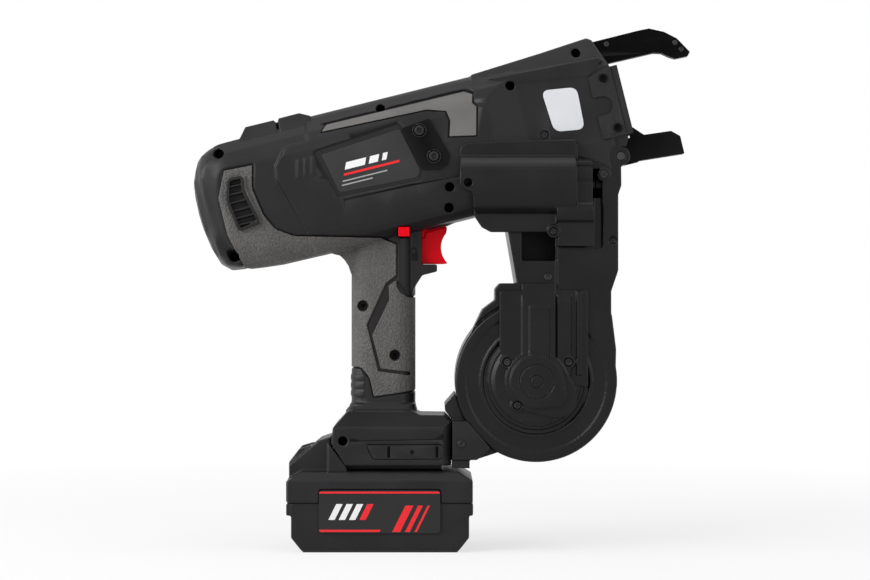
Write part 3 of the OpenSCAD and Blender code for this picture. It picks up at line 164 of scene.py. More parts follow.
def moulded(name, dark, light, edge, rough, grain=1500.0, grain_strength=0.22):
    """Spark-eroded moulded plastic: fine grain, soft blotches, paler edges that are partly wear and partly a
    painted highlight.
    """
    f = Finish(name)
    blotch = f.noise(38.0, 3.0)
    fine = f.noise(grain, 2.0)
    colour = f.mix(f.spread(blotch, 0.35, 0.68), dark, light)
    # Paler edges, partly wear and partly a painted highlight.
    colour = f.mix(f.edge_wear_and_highlight() * 0.5, colour, edge)
    gloss = f.spread(blotch, 0.3, 0.7, rough - 0.05, rough + 0.06)
    normal = f.bump(fine, grain_strength, 0.0001)
    return f.surface(Base_Color=colour, Roughness=gloss, Normal=normal, Specular_IOR_Level=0.2)


def pebbled(name, dark, light, scale, rough):
    """Rubber with a moulded pebble texture and painted shade between the pebbles."""
    f = Finish(name)
    pebble = f.cells(scale)
    patch = f.noise(55.0, 3.0)
    # The colour darkens where the pebble bump is low, as painted shade between the pebbles; the patches add
    # random tone.
    shade = f.spread(pebble, 0.1, 0.65)
    colour = f.mix(shade * 0.7 + f.spread(patch, 0.3, 0.7) * 0.3, light, dark)
    normal = f.bump(f.spread(pebble, 0.05, 0.6, 1.0, 0.0), 0.8, 0.0005)
    normal = f.bump(f.noise(2600.0), 0.12, 0.0001, normal)
    gloss = f.spread(patch, 0.3, 0.7, rough - 0.05, rough + 0.06)
    return f.surface(Base_Color=colour, Roughness=gloss, Normal=normal, Specular_IOR_Level=0.25)


def glossy(name, colour, deep, rough):
    """Polished coloured plastic with faint flow marks."""
    f = Finish(name)
    flow = f.noise(30.0, 4.0)
    shade = f.mix(f.spread(flow, 0.35, 0.7), colour, deep)
    normal = f.bump(f.noise(420.0), 0.05, 0.0001)
    gloss = f.spread(flow, 0.3, 0.7, rough, rough + 0.1)
    coat = f.spread(flow, 0.2, 0.8, 0.01, 0.04)
    return f.surface(Base_Color=shade, Roughness=gloss, Normal=normal, Specular_IOR_Level=0.1,
                     Coat_Roughness=0.12, Coat_Weight=coat)


def metal(name, dark, light, rough, metallic=1.0, shine=0.5):
    """Machined or coated metal: drawn streaks, small pits and paler edges, partly wear and partly a painted
    highlight.
    """
    f = Finish(name)
    stretched = f.node("Mapping", inputs={0: f.place(), 3: (1.0, 9.0, 9.0)})
    streak = f.node("TexNoise", inputs={"Vector": stretched, "Scale": 240.0, "Detail": 4.0})
    pits = f.noise(1900.0, 2.0)
    colour = f.mix(f.spread(streak, 0.35, 0.65), dark, light)
    # Paler edges, partly wear and partly a painted highlight.
    worn_and_highlit_edge = tuple(min(1.0, 1.8 * c + 0.04) for c in light)
    colour = f.mix(f.edge_wear_and_highlight(0.53, 0.66) * 0.6, colour, worn_and_highlit_edge)
    normal = f.bump(streak * 0.6 + pits * 0.4, 0.12, 0.0001)
    gloss = f.spread(streak, 0.3, 0.7, rough, rough + 0.14)
    return f.surface(Base_Color=colour, Metallic=metallic, Roughness=gloss, Normal=normal,
                     Specular_IOR_Level=shine)


BLACK = moulded("black_moulding", (0.0085, 0.008, 0.0088), (0.0125, 0.0118, 0.013),
                (0.036, 0.0352, 0.0368), 0.42)
DRUM_BLACK = moulded("magazine_moulding", (0.0034, 0.0032, 0.0037), (0.006, 0.0057, 0.0064),
                     (0.03, 0.0295, 0.031), 0.34, 1900.0, 0.14)
GRIP = pebbled("grip_rubber", (0.058, 0.0555, 0.053), (0.118, 0.113, 0.107), 900.0, 0.66)
TRIM = moulded("grey_trim", (0.1, 0.0965, 0.093), (0.122, 0.118, 0.114), (0.2, 0.195, 0.19),
               0.5, 1700.0, 0.1)
RED = glossy("red_button", (0.74, 0.0, 0.008), (0.66, 0.0, 0.006), 0.3)
STEEL_BLACK = metal("black_steel", (0.0012, 0.0012, 0.0013), (0.0024, 0.0024, 0.0026), 0.34, 0.0, 0.04)
STEEL = metal("bright_steel", (0.42, 0.42, 0.43), (0.6, 0.6, 0.61), 0.24)
SCREW = metal("screw_steel", (0.014, 0.014, 0.015), (0.05, 0.05, 0.053), 0.26)
# Dark steel: the plate screws' own colour, and painted shade on the feed pinion, the rollers and the lower
# guide pin.
DARK_STEEL_AND_SHADE = metal("dark_steel_and_painted_shade", (0.012, 0.012, 0.013), (0.03, 0.03, 0.032), 0.34, 0.7, 0.3)
COPPER = metal("copper_winding", (0.5, 0.2, 0.07), (0.66, 0.3, 0.12), 0.3)
IRON = metal("motor_iron", (0.16, 0.16, 0.17), (0.3, 0.3, 0.31), 0.38)
BOARD = moulded("circuit_board", (0.012, 0.07, 0.03), (0.018, 0.1, 0.045), (0.05, 0.16, 0.09), 0.4, 900.0)
CELL = moulded("cell_wrap", (0.02, 0.13, 0.26), (0.03, 0.17, 0.32), (0.1, 0.3, 0.45), 0.35, 1200.0, 0.05)
STICKER = moulded("blank_sticker", (0.58, 0.59, 0.62), (0.63, 0.64, 0.67), (0.7, 0.71, 0.74),
                  0.42, 1500.0, 0.03)


# Mesh tools
def link(name, mesh):
    piece = bpy.data.objects.new(name, mesh)
    bpy.context.scene.collection.objects.link(piece)
    return piece


def from_bmesh(name, bm, turn_out=True):
    if turn_out:
        bmesh.ops.recalc_face_normals(bm, faces=bm.faces)
    mesh = bpy.data.meshes.new(name)
    bm.to_mesh(mesh)
    bm.free()
    return link(name, mesh)


def cad_copy(name, node):
    """A new piece with the shape of a CAD node, its vertices welded."""
    bm = bmesh.new()
    bm.from_mesh(nodes[node].data)
    bmesh.ops.remove_doubles(bm, verts=bm.verts, dist=2e-6)
    return from_bmesh(name, bm, turn_out=False)


def prism(name, outline, y0, y1):
    """A side-view outline (X, Z) between two Y planes."""
    bm = bmesh.new()
    near = [bm.verts.new((x * MM, y0 * MM, z * MM)) for x, z in outline]
    far = [bm.verts.new((x * MM, y1 * MM, z * MM)) for x, z in outline]
    bm.faces.new(near)
    bm.faces.new(list(reversed(far)))
    count = len(outline)
    for i in range(count):
        j = (i + 1) % count
        bm.faces.new((near[i], far[i], far[j], near[j]))
    return from_bmesh(name, bm)


def block(name, low, high):
    (x0, y0, z0), (x1, y1, z1) = low, high
    return prism(name, [(x0, z0), (x1, z0), (x1, z1), (x0, z1)], y0, y1)


def lathe(name, centre, profile, start=0.0, end=360.0, steps=96):
    """A closed profile of (radius, Y) turned about the Y axis through a side-view point."""
    bm = bmesh.new()
    whole = end - start >= 360
    rings = []
    for i in range(steps if whole else steps + 1):
        a = math.radians(start + (end - start) * i / steps)
        rings.append([
            bm.verts.new(((centre[0] + r * math.cos(a)) * MM, y * MM, (centre[1] + r * math.sin(a)) * MM))
            for r, y in profile
        ])
    count = len(profile)
    for i in range(len(rings) if whole else len(rings) - 1):
        one, two = rings[i], rings[(i + 1) % len(rings)]
        for k in range(count):
            n = (k + 1) % count
            bm.faces.new((one[k], one[n], two[n], two[k]))
    if not whole:
        bm.faces.new(rings[0])
        bm.faces.new(list(reversed(rings[-1])))
    bmesh.ops.remove_doubles(bm, verts=bm.verts, dist=1e-7)
    return from_bmesh(name, bm)


def rod_y(name, x, y0, y1, z, r, steps=40):
    """A round rod along Y."""
    angles = [2 * math.pi * i / steps for i in range(steps)]
    return prism(name, [(x + r * math.cos(a), z + r * math.sin(a)) for a in angles], y0, y1)


def rounded(outline, r, steps=5):
    """An outline with its corners rounded."""
    made = []
    count = len(outline)
    for i, corner in enumerate(outline):
        here = Vector(corner)
        back = Vector(outline[i - 1]) - here
        ahead = Vector(outline[(i + 1) % count]) - here
        reach = min(r, back.length * 0.45, ahead.length * 0.45)
        first, last = here + back.normalized() * reach, here + ahead.normalized() * reach
        for k in range(steps + 1):
            t = k / steps
            made.append(tuple(first * (1 - t) ** 2 + here * (2 * t * (1 - t)) + last * t ** 2))
    return made


def stroke(points, width):
    """The outline of a thick line through side-view points."""
    left, right = [], []
    for i, point in enumerate(points):
        here = Vector(point)
        back = Vector(points[max(i - 1, 0)])
        ahead = Vector(points[min(i + 1, len(points) - 1)])
        along = (ahead - back).normalized()
        across = Vector((-along.y, along.x)) * width / 2
        left.append(tuple(here + across))
        right.append(tuple(here - across))
    return left + right[::-1]


def settle(piece):
    """Applies a piece's modifiers."""
    graph = bpy.context.evaluated_depsgraph_get()
    mesh = bpy.data.meshes.new_from_object(piece.evaluated_get(graph))
    old = piece.data
    piece.modifiers.clear()
    piece.data = mesh
    bpy.data.meshes.remove(old)
    return piece


def carve(piece, cutters):
    """Cuts other closed pieces out of this one."""
    for cutter in cutters:
        change = piece.modifiers.new("carve", "BOOLEAN")
        change.operation = "DIFFERENCE"
        change.solver = "EXACT"
        change.object = cutter
    settle(piece)
    for cutter in cutters:
        bpy.data.objects.remove(cutter)
    return piece


def weld_on(piece, others):
    """Takes the meshes of other closed pieces into this one."""
    bm = bmesh.new()
    bm.from_mesh(piece.data)
    for other in others:
        bm.from_mesh(other.data)
        bpy.data.objects.remove(other)
    bm.to_mesh(piece.data)
    bm.free()
    return piece


def soften(piece, voxel, rounds, triangles):
    """Moulded form: welded pieces fused, every edge rounded, then thinned to a number of triangles."""
    fuse = piece.modifiers.new("fuse", "REMESH")
    fuse.mode = "VOXEL"
    fuse.voxel_size = voxel * 1.0 * MM
    smooth = piece.modifiers.new("smooth", "SMOOTH")
    smooth.factor = 0.5
    smooth.iterations = rounds
    settle(piece)
    thin = piece.modifiers.new("thin", "DECIMATE")
    thin.ratio = min(1.0, triangles / (2 * max(1, len(piece.data.polygons))))
    settle(piece)
    return piece


def crisp(piece, width, segments=2, angle=32.0):
    """Sheet and machined pieces: flat faces cleaned, every sharp edge broken."""
    bm = bmesh.new()
    bm.from_mesh(piece.data)
    bmesh.ops.remove_doubles(bm, verts=bm.verts, dist=2e-6)
    bmesh.ops.dissolve_limit(bm, angle_limit=math.radians(0.6), verts=bm.verts, edges=bm.edges)
    bm.to_mesh(piece.data)
    bm.free()
    broken = piece.modifiers.new("edge", "BEVEL")
    broken.width = width * MM
    broken.segments = segments
    broken.limit_method = "ANGLE"
    broken.angle_limit = math.radians(angle)
    return settle(piece)


def dress(piece, finish, body, slot, *replaced):
    """Gives a piece its finish, its body and the CAD nodes it stands for."""
    piece.data.materials.clear()
    piece.data.materials.append(finish)
    for face in piece.data.polygons:
        face.use_smooth = True
    even = piece.modifiers.new("even_shading", "WEIGHTED_NORMAL")
    even.weight = 60
    settle(piece)
    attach(piece, body)
    if replaced:
        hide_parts(*replaced)
    return piece


def tower(name, outline, z0, z1):
    """A plan outline (X, Y) between two heights."""
    piece = prism(name, outline, z0, z1)
    piece.data.transform(Matrix(((1, 0, 0, 0), (0, 0, 1, 0), (0, 1, 0, 0), (0, 0, 0, 1))))
    piece.data.flip_normals()
    return piece


def fade(value, low, high):
    """Nought below one value, one above the other, smooth between."""
    t = min(1.0, max(0.0, (value - low) / (high - low)))
    return t * t * (3 - 2 * t)


def uv_of(place):
    """How far along and above the barrel's axis a point in metres lies."""
    c, s = math.cos(BARREL_TILT), math.sin(BARREL_TILT)
    dx, dz = place.x / MM - BARREL_REAR[0], place.z / MM - BARREL_REAR[1]
    return dx * c + dz * s, dz * c - dx * s


CROWN, CROWN_MIDDLE, CROWN_HALF = 0.1, -2.5, 43.5


def barrel_round(piece):
    """Draws the barrel's sides in towards the top and the bottom, as its mouldings are slightly round."""
    for vertex in piece.data.vertices:
        u, v = uv_of(vertex.co)
        if v > BARREL_LOW:
            share = fade(u, -4, 10) * (1 - fade(u, 165, 190)) * fade(abs(vertex.co.y / MM), 18, 28)
            vertex.co.y *= 1 - CROWN * ((v - CROWN_MIDDLE) / CROWN_HALF) ** 2 * share
    return piece


EVEN_PASSES, EVEN_PULL, EVEN_END = 60, 0.5, 16
CAP_PUSH, CAP_END, CAP_LENGTH = 1.3, 10, 21


def even_rear(piece):
    """Evens out the sides of the barrel's rear cap and draws its top corner in."""
    mesh = piece.data
    count = len(mesh.vertices)
    ends = np.empty(len(mesh.edges) * 2, dtype=np.int32)
    mesh.edges.foreach_get("vertices", ends)
    first, second = ends[0::2], ends[1::2]
    near = np.maximum(np.bincount(ends, minlength=count), 1)
    pull = np.zeros(count)
    for vertex in mesh.vertices:
        u, v = uv_of(vertex.co)
        if v > BARREL_LOW and u < EVEN_END:
            off_middle = fade(abs(vertex.co.y / MM), 2, 22)
            pull[vertex.index] = EVEN_PULL * (1 - fade(u, 2, EVEN_END)) * off_middle
    places = np.empty(count * 3)
    mesh.vertices.foreach_get("co", places)
    places = places.reshape(-1, 3)
    for _ in range(EVEN_PASSES):
        for axis in range(3):
            line = places[:, axis]
            total = np.bincount(first, line[second], count) + np.bincount(second, line[first], count)
            places[:, axis] = line + pull * (total / near - line)
    mesh.vertices.foreach_set("co", places.ravel())
    for vertex in mesh.vertices:
        u, v = uv_of(vertex.co)
        if v > BARREL_LOW and u < CAP_END:
            push = (CAP_PUSH + CAP_PUSH * fade(v, 12, 32)) * ((CAP_END - u) / CAP_LENGTH) ** 2 * MM
            vertex.co.x += push * math.cos(BARREL_TILT)
            vertex.co.z += push * math.sin(BARREL_TILT)
    return piece


TRIM_EDGE_V, TRIM_FRONT_U = 29.6, 176
SHOULDER_R, SHOULDER_V = 22.0, 19.7


def widen_up(piece, rise):
    """Lifts a trim's upper edge along the round of the barrel."""
    for vertex in piece.data.vertices:
        u, v = uv_of(vertex.co)
        if v > TRIM_EDGE_V and u < TRIM_FRONT_U:
            drop = SHOULDER_R * (math.sqrt(1 - ((v - SHOULDER_V) / SHOULDER_R) ** 2)
                                 - math.sqrt(1 - ((v + rise - SHOULDER_V) / SHOULDER_R) ** 2))
            vertex.co.y -= math.copysign(drop * MM, vertex.co.y)
            vertex.co.x -= rise * math.sin(BARREL_TILT) * MM
            vertex.co.z += rise * math.cos(BARREL_TILT) * MM
    return piece


def beam(name, section, x0, x1):
    """A cross-section (Y, Z) between two X planes."""
    piece = prism(name, section, x0, x1)
    piece.data.transform(Matrix(((0, 1, 0, 0), (1, 0, 0, 0), (0, 0, 1, 0), (0, 0, 0, 1))))
    piece.data.flip_normals()
    return piece


def bend_of(centre, r, start, end, steps=18):
    """Points of an arc in a plane, angles in degrees."""
    angles = [math.radians(start + (end - start) * i / steps) for i in range(steps + 1)]
    return [(centre[0] + r * math.cos(a), centre[1] + r * math.sin(a)) for a in angles]


def span(side, first, second):
    """Two distances from the middle plane as Y limits: side -1 is the near half, +1 the far one."""
    return sorted((side * first, side * second))


def ring_stroke(outline, width):
    """A closed thick line along an outline, as one prism outline per edge."""
    count = len(outline)
    return [stroke([outline[i], outline[(i + 1) % count]], width) for i in range(count)]


# Screws: a chamfered head with a hexagon socket, facing the near or the far side
def add_screw(bm, place, side, head_r, head_h, socket_r, steps=24):
    x, y, z = place
    loops = []
    profile = [(head_r, 0.0), (head_r, head_h * 0.72), (head_r * 0.86, head_h)]
    for r, out in profile:
        loops.append([(r * math.cos(2 * math.pi * i / steps), r * math.sin(2 * math.pi * i / steps), out)
                      for i in range(steps)])
    for depth in (head_h, head_h * 0.25):
        hexagon = []
        for i in range(steps):
            a = 2 * math.pi * i / steps
            corner = (a % (math.pi / 3)) - math.pi / 6
            r = socket_r * math.cos(math.pi / 6) / math.cos(corner)
            hexagon.append((r * math.cos(a), r * math.sin(a), depth))
        loops.append(hexagon)
    made = [[bm.verts.new(((x + p) * MM, (y + side * out) * MM, (z + q) * MM)) for p, q, out in loop]
            for loop in loops]
    for one, two in zip(made, made[1:]):
        for i in range(steps):
            j = (i + 1) % steps
            bm.faces.new((one[i], one[j], two[j], two[i]))
    bm.faces.new(made[0])
    bm.faces.new(made[-1])


def screws(name, places, head_r, head_h, finish, slot, *replaced):
    """A group of like screws: each place is X, Y, Z and the side it faces."""
    bm = bmesh.new()
    for x, y, z, side in places:
        add_screw(bm, (x, y, z), side, head_r, head_h, head_r * 0.55)
    piece = crisp(from_bmesh(name, bm), 0.12, 1, 40.0)
    return dress(piece, finish, "housing", slot, *replaced)


# Housing halves. OUTSIDE lies beyond every side face of a half, for cutters that come from there
OUTSIDE = 45.0
PANEL_POCKET = [(71.5, 18.2), (80.0, -13.9), (134.0, -16.0), (137.0, -9.5), (129.8, 22.6)]
TRIM_SEAT = (
    (34.0, [(152.5, 24.0), (159.0, 21.8), (159.8, 16.0), (156.7, 5.8), (175.3, 1.9), (180.2, 20.5),
            (178.4, 24.0)]),
    (32.8, [(79.4, 28.1), (148.0, 25.5), (152.5, 23.9), (178.4, 23.9), (179.6, 30.1), (81.0, 30.1)]),
    (29.8, [(81.0, 30.0), (179.4, 30.0), (174.0, 33.2), (84.0, 34.0)]),
)
REAR_HOLES = [(14.0, 31.5), (8.0, -34.0)]
HEAD_SCREW = (104.0, -27.6, 264.0)
CHEEK = [(30.0, 208.0), (48.0, 212.5), (47.6, 209.4), (42.3, 206.9), (30.0, 203.8)]
CHIN = [(143.0, 252.0), (147.0, 256.0), (155.5, 256.5), (157.4, 262.6), (148.0, 264.0), (143.0, 264.0)]
CREASE = [(84.0, -16.6), (128.0, -17.6), (158.0, -19.6)]
HEAD_BAND = [(189.0, 36.4), (262.0, 32.6), (263.5, 30.0), (252.2, 22.3), (206.5, 30.0)]
BEZEL = [(8.0, 160.0), (17.0, 160.0), (21.5, 167.5), (26.0, 174.5), (26.0, 204.0), (8.0, 201.0)]
BADGE = [(-9.0, 68.0), (-4.5, 58.8), (39.0, 58.8), (42.0, 63.2), (39.0, 68.0)]
HEAD_SKIRT = [(124.0, 249.6), (140.8, 245.2), (147.0, 241.2), (145.4, 247.5), (145.6, 253.0), (148.5, 257.2),
              *all_at_uv([(258.0, -18.5), (226.0, -18.5)])]


def handle_rib(side, z0, z1):
    """A short rib round the handle's rear corner."""
    turns = [math.radians(186 + 8 * i) for i in range(9)]
    outer = [(-6 + 13.7 * math.cos(a), 5.5 + 13.7 * -math.sin(a)) for a in turns]
    inner = [(-6 + 11.0 * math.cos(a), 5.5 + 11.0 * -math.sin(a)) for a in reversed(turns)]
    return tower("rib", [(x, side * y) for x, y in outer + inner], z0, z1)


def slanted_mark(side, u):
    """One of the ribs raised on the barrel's side."""
    outline = [(u, 4), (u + 2.2, 4), (u + 5, 14.5), (u + 2.8, 14.5)]
    return prism("mark", all_at_uv(outline), *span(side, 35.0, 36.5))


def neck_step(side, grow, top):
    """A step of the flare where the handle meets the foot."""
    back, front, out = -19 - grow, 22 + 0.3 * grow, 18.5 + grow
    plan = [(back, side * 1), (front, side * 1), (front, side * out), (back, side * out)]
    return tower("neck", rounded(plan, 11.0), 84.0, top)


def housing(name, node, side):
    """One half: raised forms fused on, softened, then the sharp lines cut in."""
    piece = cad_copy(name, node)
    foot_corner = [(38.5, side * 35.0), (46.0, side * 35.0), (46.0, side * 27.5)]
    carve(piece, [tower("foot_corner", foot_corner, 50.0, 92.0)])
    ribs = [slanted_mark(side, u) for u in (58.5, 63.0, 67.5)]
    ribs += [handle_rib(side, z, z + 3.5) for z in (97.9, 103.0, 108.1)]
    ribs += [prism("band", all_at_uv(HEAD_BAND), *span(side, 29.0, 31.6)),
             prism("bezel", BEZEL, *span(side, 7.4, 13.2))]
    ribs += [neck_step(side, grow, top) for grow, top in ((3.4, 89.4), (2.0, 91.0), (0.9, 93.2))]
    ribs.append(prism("cheek", CHEEK, *span(side, 7.8, 12.4)))
    ribs.append(prism("chin", CHIN, *span(side, 27.0, 30.6)))
    if side < 0:
        ribs.append(prism("head_skirt", HEAD_SKIRT, -31.35, -29.0))
    weld_on(piece, ribs)
    even_rear(soften(piece, 0.62, 7, 110000))
    cuts = [prism("crease", stroke(all_at_uv(CREASE), 0.9), *span(side, 35.2, OUTSIDE)),
            rod_y("badge_hole", 20.2, *span(side, 31.0, OUTSIDE), 63.3, 1.5)]
    badge = ring_stroke(rounded(BADGE, 1.8, 3), 0.7)
    cuts += [prism("badge", line, *span(side, 33.3, OUTSIDE)) for line in badge]
    slot_low, slot_high = span(side, 31.5, OUTSIDE)
    cuts += [block("badge_slot", (x, slot_low, 59.8), (x + 1.7, slot_high, 67.0)) for x in (4.6, 35.0)]
    cuts.append(prism("ledge", stroke([(-19.0, 70.2), (43.0, 71.6)], 0.6), *span(side, 33.4, OUTSIDE)))
    cuts += [prism("trim_seat", all_at_uv(band), *span(side, depth, OUTSIDE)) for depth, band in TRIM_SEAT]
    cuts += [rod_y("rear_hole", x, *span(side, 27.0, OUTSIDE), z, 2.7) for x, z in all_at_uv(REAR_HOLES)]
    if side < 0:
        cuts.append(prism("pocket", rounded(all_at_uv(PANEL_POCKET), 3.0), *span(side, 34.85, OUTSIDE)))
        x, y, z = HEAD_SCREW
        cuts.append(rod_y("deep_hole", x, -OUTSIDE, y + 0.1, z, 2.7))
    barrel_round(carve(piece, cuts))
    return dress(piece, BLACK, "housing", "black_plastic", node)


housing("housing_near", "right_housing", -1)
housing("housing_far", "left_housing", 1)

# Rubber grips, cut back from their pocket and grooved down to the housing
GRIP_OUTLINE = (
    all_at_uv([(14, 21), (6, 4), (6, -20), (14, -54)])
    + [(-25, 182.1), (-25, 115.6), (-13, 115.6), (-8, 109.6), (-5, 96.6), (28, 101.6), (28, 162.1),
       (18, 162.1), (11, 171.1), (11, 195.3), (0.6, 199.75)]
    + all_at_uv([(48, -30), (38, -23), (33, -13), (30, 5), (34, 20)])
)
GRIP_GROOVE = [(10.7, 175.7), (3.2, 170.0), (-8.8, 143.6), (-1.6, 113.9), (18.9, 111.2), (18.9, 113.4),
               (0.0, 115.6), (-5.4, 136.9), (5.4, 159.3), (5.0, 168.5), (10.7, 172.6)]
GRIP_HOLES = [(-11.3, 155.6), (9.1, 124.1)]
VENT_SIDE = [(-87.0, 237.4), (-86.2, 228.1), (-76.0, 208.6), (-74.6, 208.6), (-84.6, 230.0), (-85.2, 237.8)]
GRIP_OUTSIDE = 60.0
BEZEL_CORNER = [(10.2, 173.0), (10.2, 168.0), (12.6, 163.8), (17.6, 161.0), (24.0, 161.0), (24.0, 173.0)]


def grip(name, node, side):
    """One half's rubber, filled up to the vent's border."""
    piece = cad_copy(name, node)
    through = span(side, 0.0, GRIP_OUTSIDE)
    cuts = [prism("edge", edge, *through) for edge in ring_stroke(GRIP_OUTLINE, 1.9)]
    cuts += [prism("cut", outline, *span(side, 5.0, GRIP_OUTSIDE)) for outline in (GRIP_GROOVE, BEZEL_CORNER)]
    cuts += [rod_y("hole", x, *through, z, 3.6) for x, z in GRIP_HOLES]
    carve(piece, cuts)
    weld_on(piece, [prism("vent_side", VENT_SIDE, *span(side, 32.5, 36.2))])
    barrel_round(soften(piece, 0.42, 2, 70000))
    return dress(piece, GRIP, "housing", "grey_rubber", node)


grip("grip_near", "right_grip", -1)
grip("grip_far", "left_grip", 1)

# Grey trims, steel side plates and vents with their louvres
VENT = [(-95.6, 235.2), (-86.9, 237.0), (-86.2, 228.1), (-76.0, 208.6), (-88.6, 203.4), (-96.2, 221.8)]
BLADES = [(-95.0, 230.6, -87.0, 232.6), (-95.6, 225.4, -86.4, 227.7), (-94.8, 220.2, -83.6, 223.0),
          (-92.8, 215.4, -81.4, 218.2), (-90.8, 210.8, -79.2, 213.7), (-89.2, 206.6, -77.8, 209.4)]
for side, word in ((-1, "right"), (1, "left")):
    trim = crisp(cad_copy(word + "_trim_strip", word + "_trim"), 0.25)
    dress(barrel_round(widen_up(trim, 0.8)), TRIM, "housing", "grey_plastic", word + "_trim")
    plate = crisp(cad_copy(word + "_steel_plate", word + "_side_plate"), 0.45)
    dress(plate, STEEL_BLACK, "housing", "black_steel", word + "_side_plate")
    vent = prism(word + "_louvres", VENT, *span(side, 30.0, 31.0))
    blades = [prism("blade", stroke([(x0, z0), (x1, z1)], 1.2), *span(side, 30.5, 35.4))
              for x0, z0, x1, z1 in BLADES]
    border = [prism("border", edge, *span(side, 30.5, 36.6))
              for edge in ring_stroke(rounded(VENT, 2.6, 4), 2.0)]
    soften(weld_on(vent, blades + border), 0.3, 2, 30000)
    dress(barrel_round(vent), BLACK, "housing", "black_plastic", word + "_vent")


# Printed films: bars over a dark ground, placed along and across a slanted frame
def printed(name, ground, rough, origin, tilt, slant, bars):
    """Each bar is its start, end, low and high edge in millimetres and its colour."""
    f = Finish(name)
    x, _, z = f.axes()
    c, s = math.cos(tilt), math.sin(tilt)
    right = (x * (1 / MM) - origin[0]) * c + (z * (1 / MM) - origin[1]) * s
    up = (z * (1 / MM) - origin[1]) * c - (x * (1 / MM) - origin[0]) * s
    right = right - up * slant
    grain = f.noise(60.0, 3.0)
    colour = f.mix(f.spread(grain, 0.3, 0.7), ground, tuple(1.25 * v for v in ground))
    for start, end, low, high, ink in bars:
        inside = right.above(start) * right.below(end) * up.above(low) * up.below(high)
        colour = f.mix(inside, colour, ink)
    normal = f.bump(f.noise(1400.0), 0.04, 0.0001)
    gloss = f.spread(grain, 0.3, 0.7, rough - 0.04, rough + 0.05)
    return f.surface(Base_Color=colour, Roughness=gloss, Normal=normal, Specular_IOR_Level=0.35)


WHITE_INK = (0.74, 0.74, 0.74)
RED_INK = (0.72, 0.012, 0.018)
GREY_INK = (0.3, 0.3, 0.3)
PANEL_PRINT = printed("panel_print", (0.014, 0.0135, 0.0145), 0.36, BARREL_REAR, BARREL_TILT, 0.45, [
    (88.0, 101.0, 2.0, 6.4, WHITE_INK), (103.5, 109.5, 2.0, 6.4, WHITE_INK),
    (112.0, 115.0, 2.0, 6.4, WHITE_INK), (88.0, 124.0, -1.6, -0.2, RED_INK),
    (88.0, 117.0, -5.2, -4.4, GREY_INK), (88.0, 108.0, -7.6, -6.8, GREY_INK),
])
LABEL_PRINT = printed("label_print", (0.006, 0.006, 0.0065), 0.3, (0.0, 26.0), 0.0, 0.5, [
    (-60.0, 60.0, 11.6, 12.8, RED_INK), (-60.0, 6.0, -12.6, -11.2, RED_INK),
    (14.0, 19.0, -12.6, 4.0, RED_INK), (22.0, 25.0, -12.6, 4.0, RED_INK), (28.0, 29.5, -12.6, 4.0, RED_INK),
    (-30.0, -26.0, -5.0, 5.0, WHITE_INK), (-23.5, -19.5, -5.0, 5.0, WHITE_INK),
    (-17.0, -13.0, -5.0, 5.0, WHITE_INK), (-10.5, -6.5, -5.0, 5.0, RED_INK),
])

# Name panel and blank sticker
film = all_at_uv([(76.8, 14.8), (82.2, -11.4), (132.4, -13.8), (135.4, -9.6), (129.0, 18.6)])
panel = soften(prism("name_film", rounded(film, 2.0), -35.2, -34.2), 0.3, 1, 24000)
dress(barrel_round(panel), PANEL_PRINT, "housing", "black_steel", "name_panel")
sticker = rounded([(101.8, 291.8), (124.2, 294.0), (129.4, 267.4), (110.2, 265.6)], 5.0)
sticker = prism("blank_sticker", sticker, HEAD_FACE - 0.3, HEAD_FACE + 0.4)
dress(crisp(sticker, 0.1), STICKER, "housing", "label_print")

# Pads and button on the top
PAD_FOOT, PAD_HALF, PAD_SLOPE = 33.0, 26.0, 0.42
pads = cad_copy("top_pad_pair", "top_pads")
saddles = []
for outline in ([(24.6, PAD_FOOT), (33.6, 44.5), (52.2, 44.4), (53.0, 42.8), (53.0, PAD_FOOT)],
                [(54.6, PAD_FOOT), (54.6, 43.2), (55.6, 44.8), (69.0, 44.9), (75.6, 41.4), (75.6, PAD_FOOT)]):
    saddle = prism("pad", all_at_uv(outline), -1.0, 1.0)
    for vertex in saddle.data.vertices:
        vertex.co.y *= PAD_HALF - PAD_SLOPE * (uv_of(vertex.co)[1] - PAD_FOOT)
    saddles.append(saddle)
button_well = rod_y("well", 0.0, -6.0, 6.0, 0.0, 5.2)
well_at = [(low + high) / 2 for low, high in zip(*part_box("power_button"))]
button_well.data.transform(Matrix.Translation(well_at) @ Matrix.Rotation(-BARREL_TILT, 4, "Y")
                           @ Matrix.Rotation(math.radians(90), 4, "X"))
carve(soften(weld_on(pads, saddles), 0.45, 2, 30000), [button_well])
dress(pads, BLACK, "housing", "black_plastic", "top_pads")
dress(crisp(cad_copy("red_push_button", "power_button"), 0.5, 3), RED, "power", "red_plastic", "power_button")

# Front plate, wire guides, rivets and screws
FEED_SCREWS = [(55.4, 232.9), (109.4, 202.7)]
DRUM_SCREWS = [(80.1, 120.3), (119.0, 120.3), (86.6, 93.0)]
PLATE_FACE = 37.3
front_steel = cad_copy("front_steel", "front_plate")
bend = stroke(all_at_uv([(267.6, -18.0), (267.6, 24.2)]), 0.8)
carve(front_steel, [prism("bend", bend, *span(side, 32.0, OUTSIDE)) for side in SIDES])
dress(crisp(front_steel, 0.45), STEEL_BLACK, "housing", "black_steel", "front_plate")
upper_guide = crisp(cad_copy("upper_guide_arm", "upper_guide"), 0.5, 3)
dress(upper_guide, STEEL_BLACK, "housing", "black_steel", "upper_guide")
lower_guide = crisp(cad_copy("lower_guide_arm", "lower_guide"), 0.45)
dress(lower_guide, STEEL_BLACK, "guide", "black_steel", "lower_guide")
dress(crisp(cad_copy("rivet_heads", "guide_rivets"), 0.2), SCREW, "housing", "steel", "guide_rivets")
plate_places = [(*at_uv(u, v), side) for u, v in ((140.5, 14.5), (145.5, -3.5)) for side in SIDES]
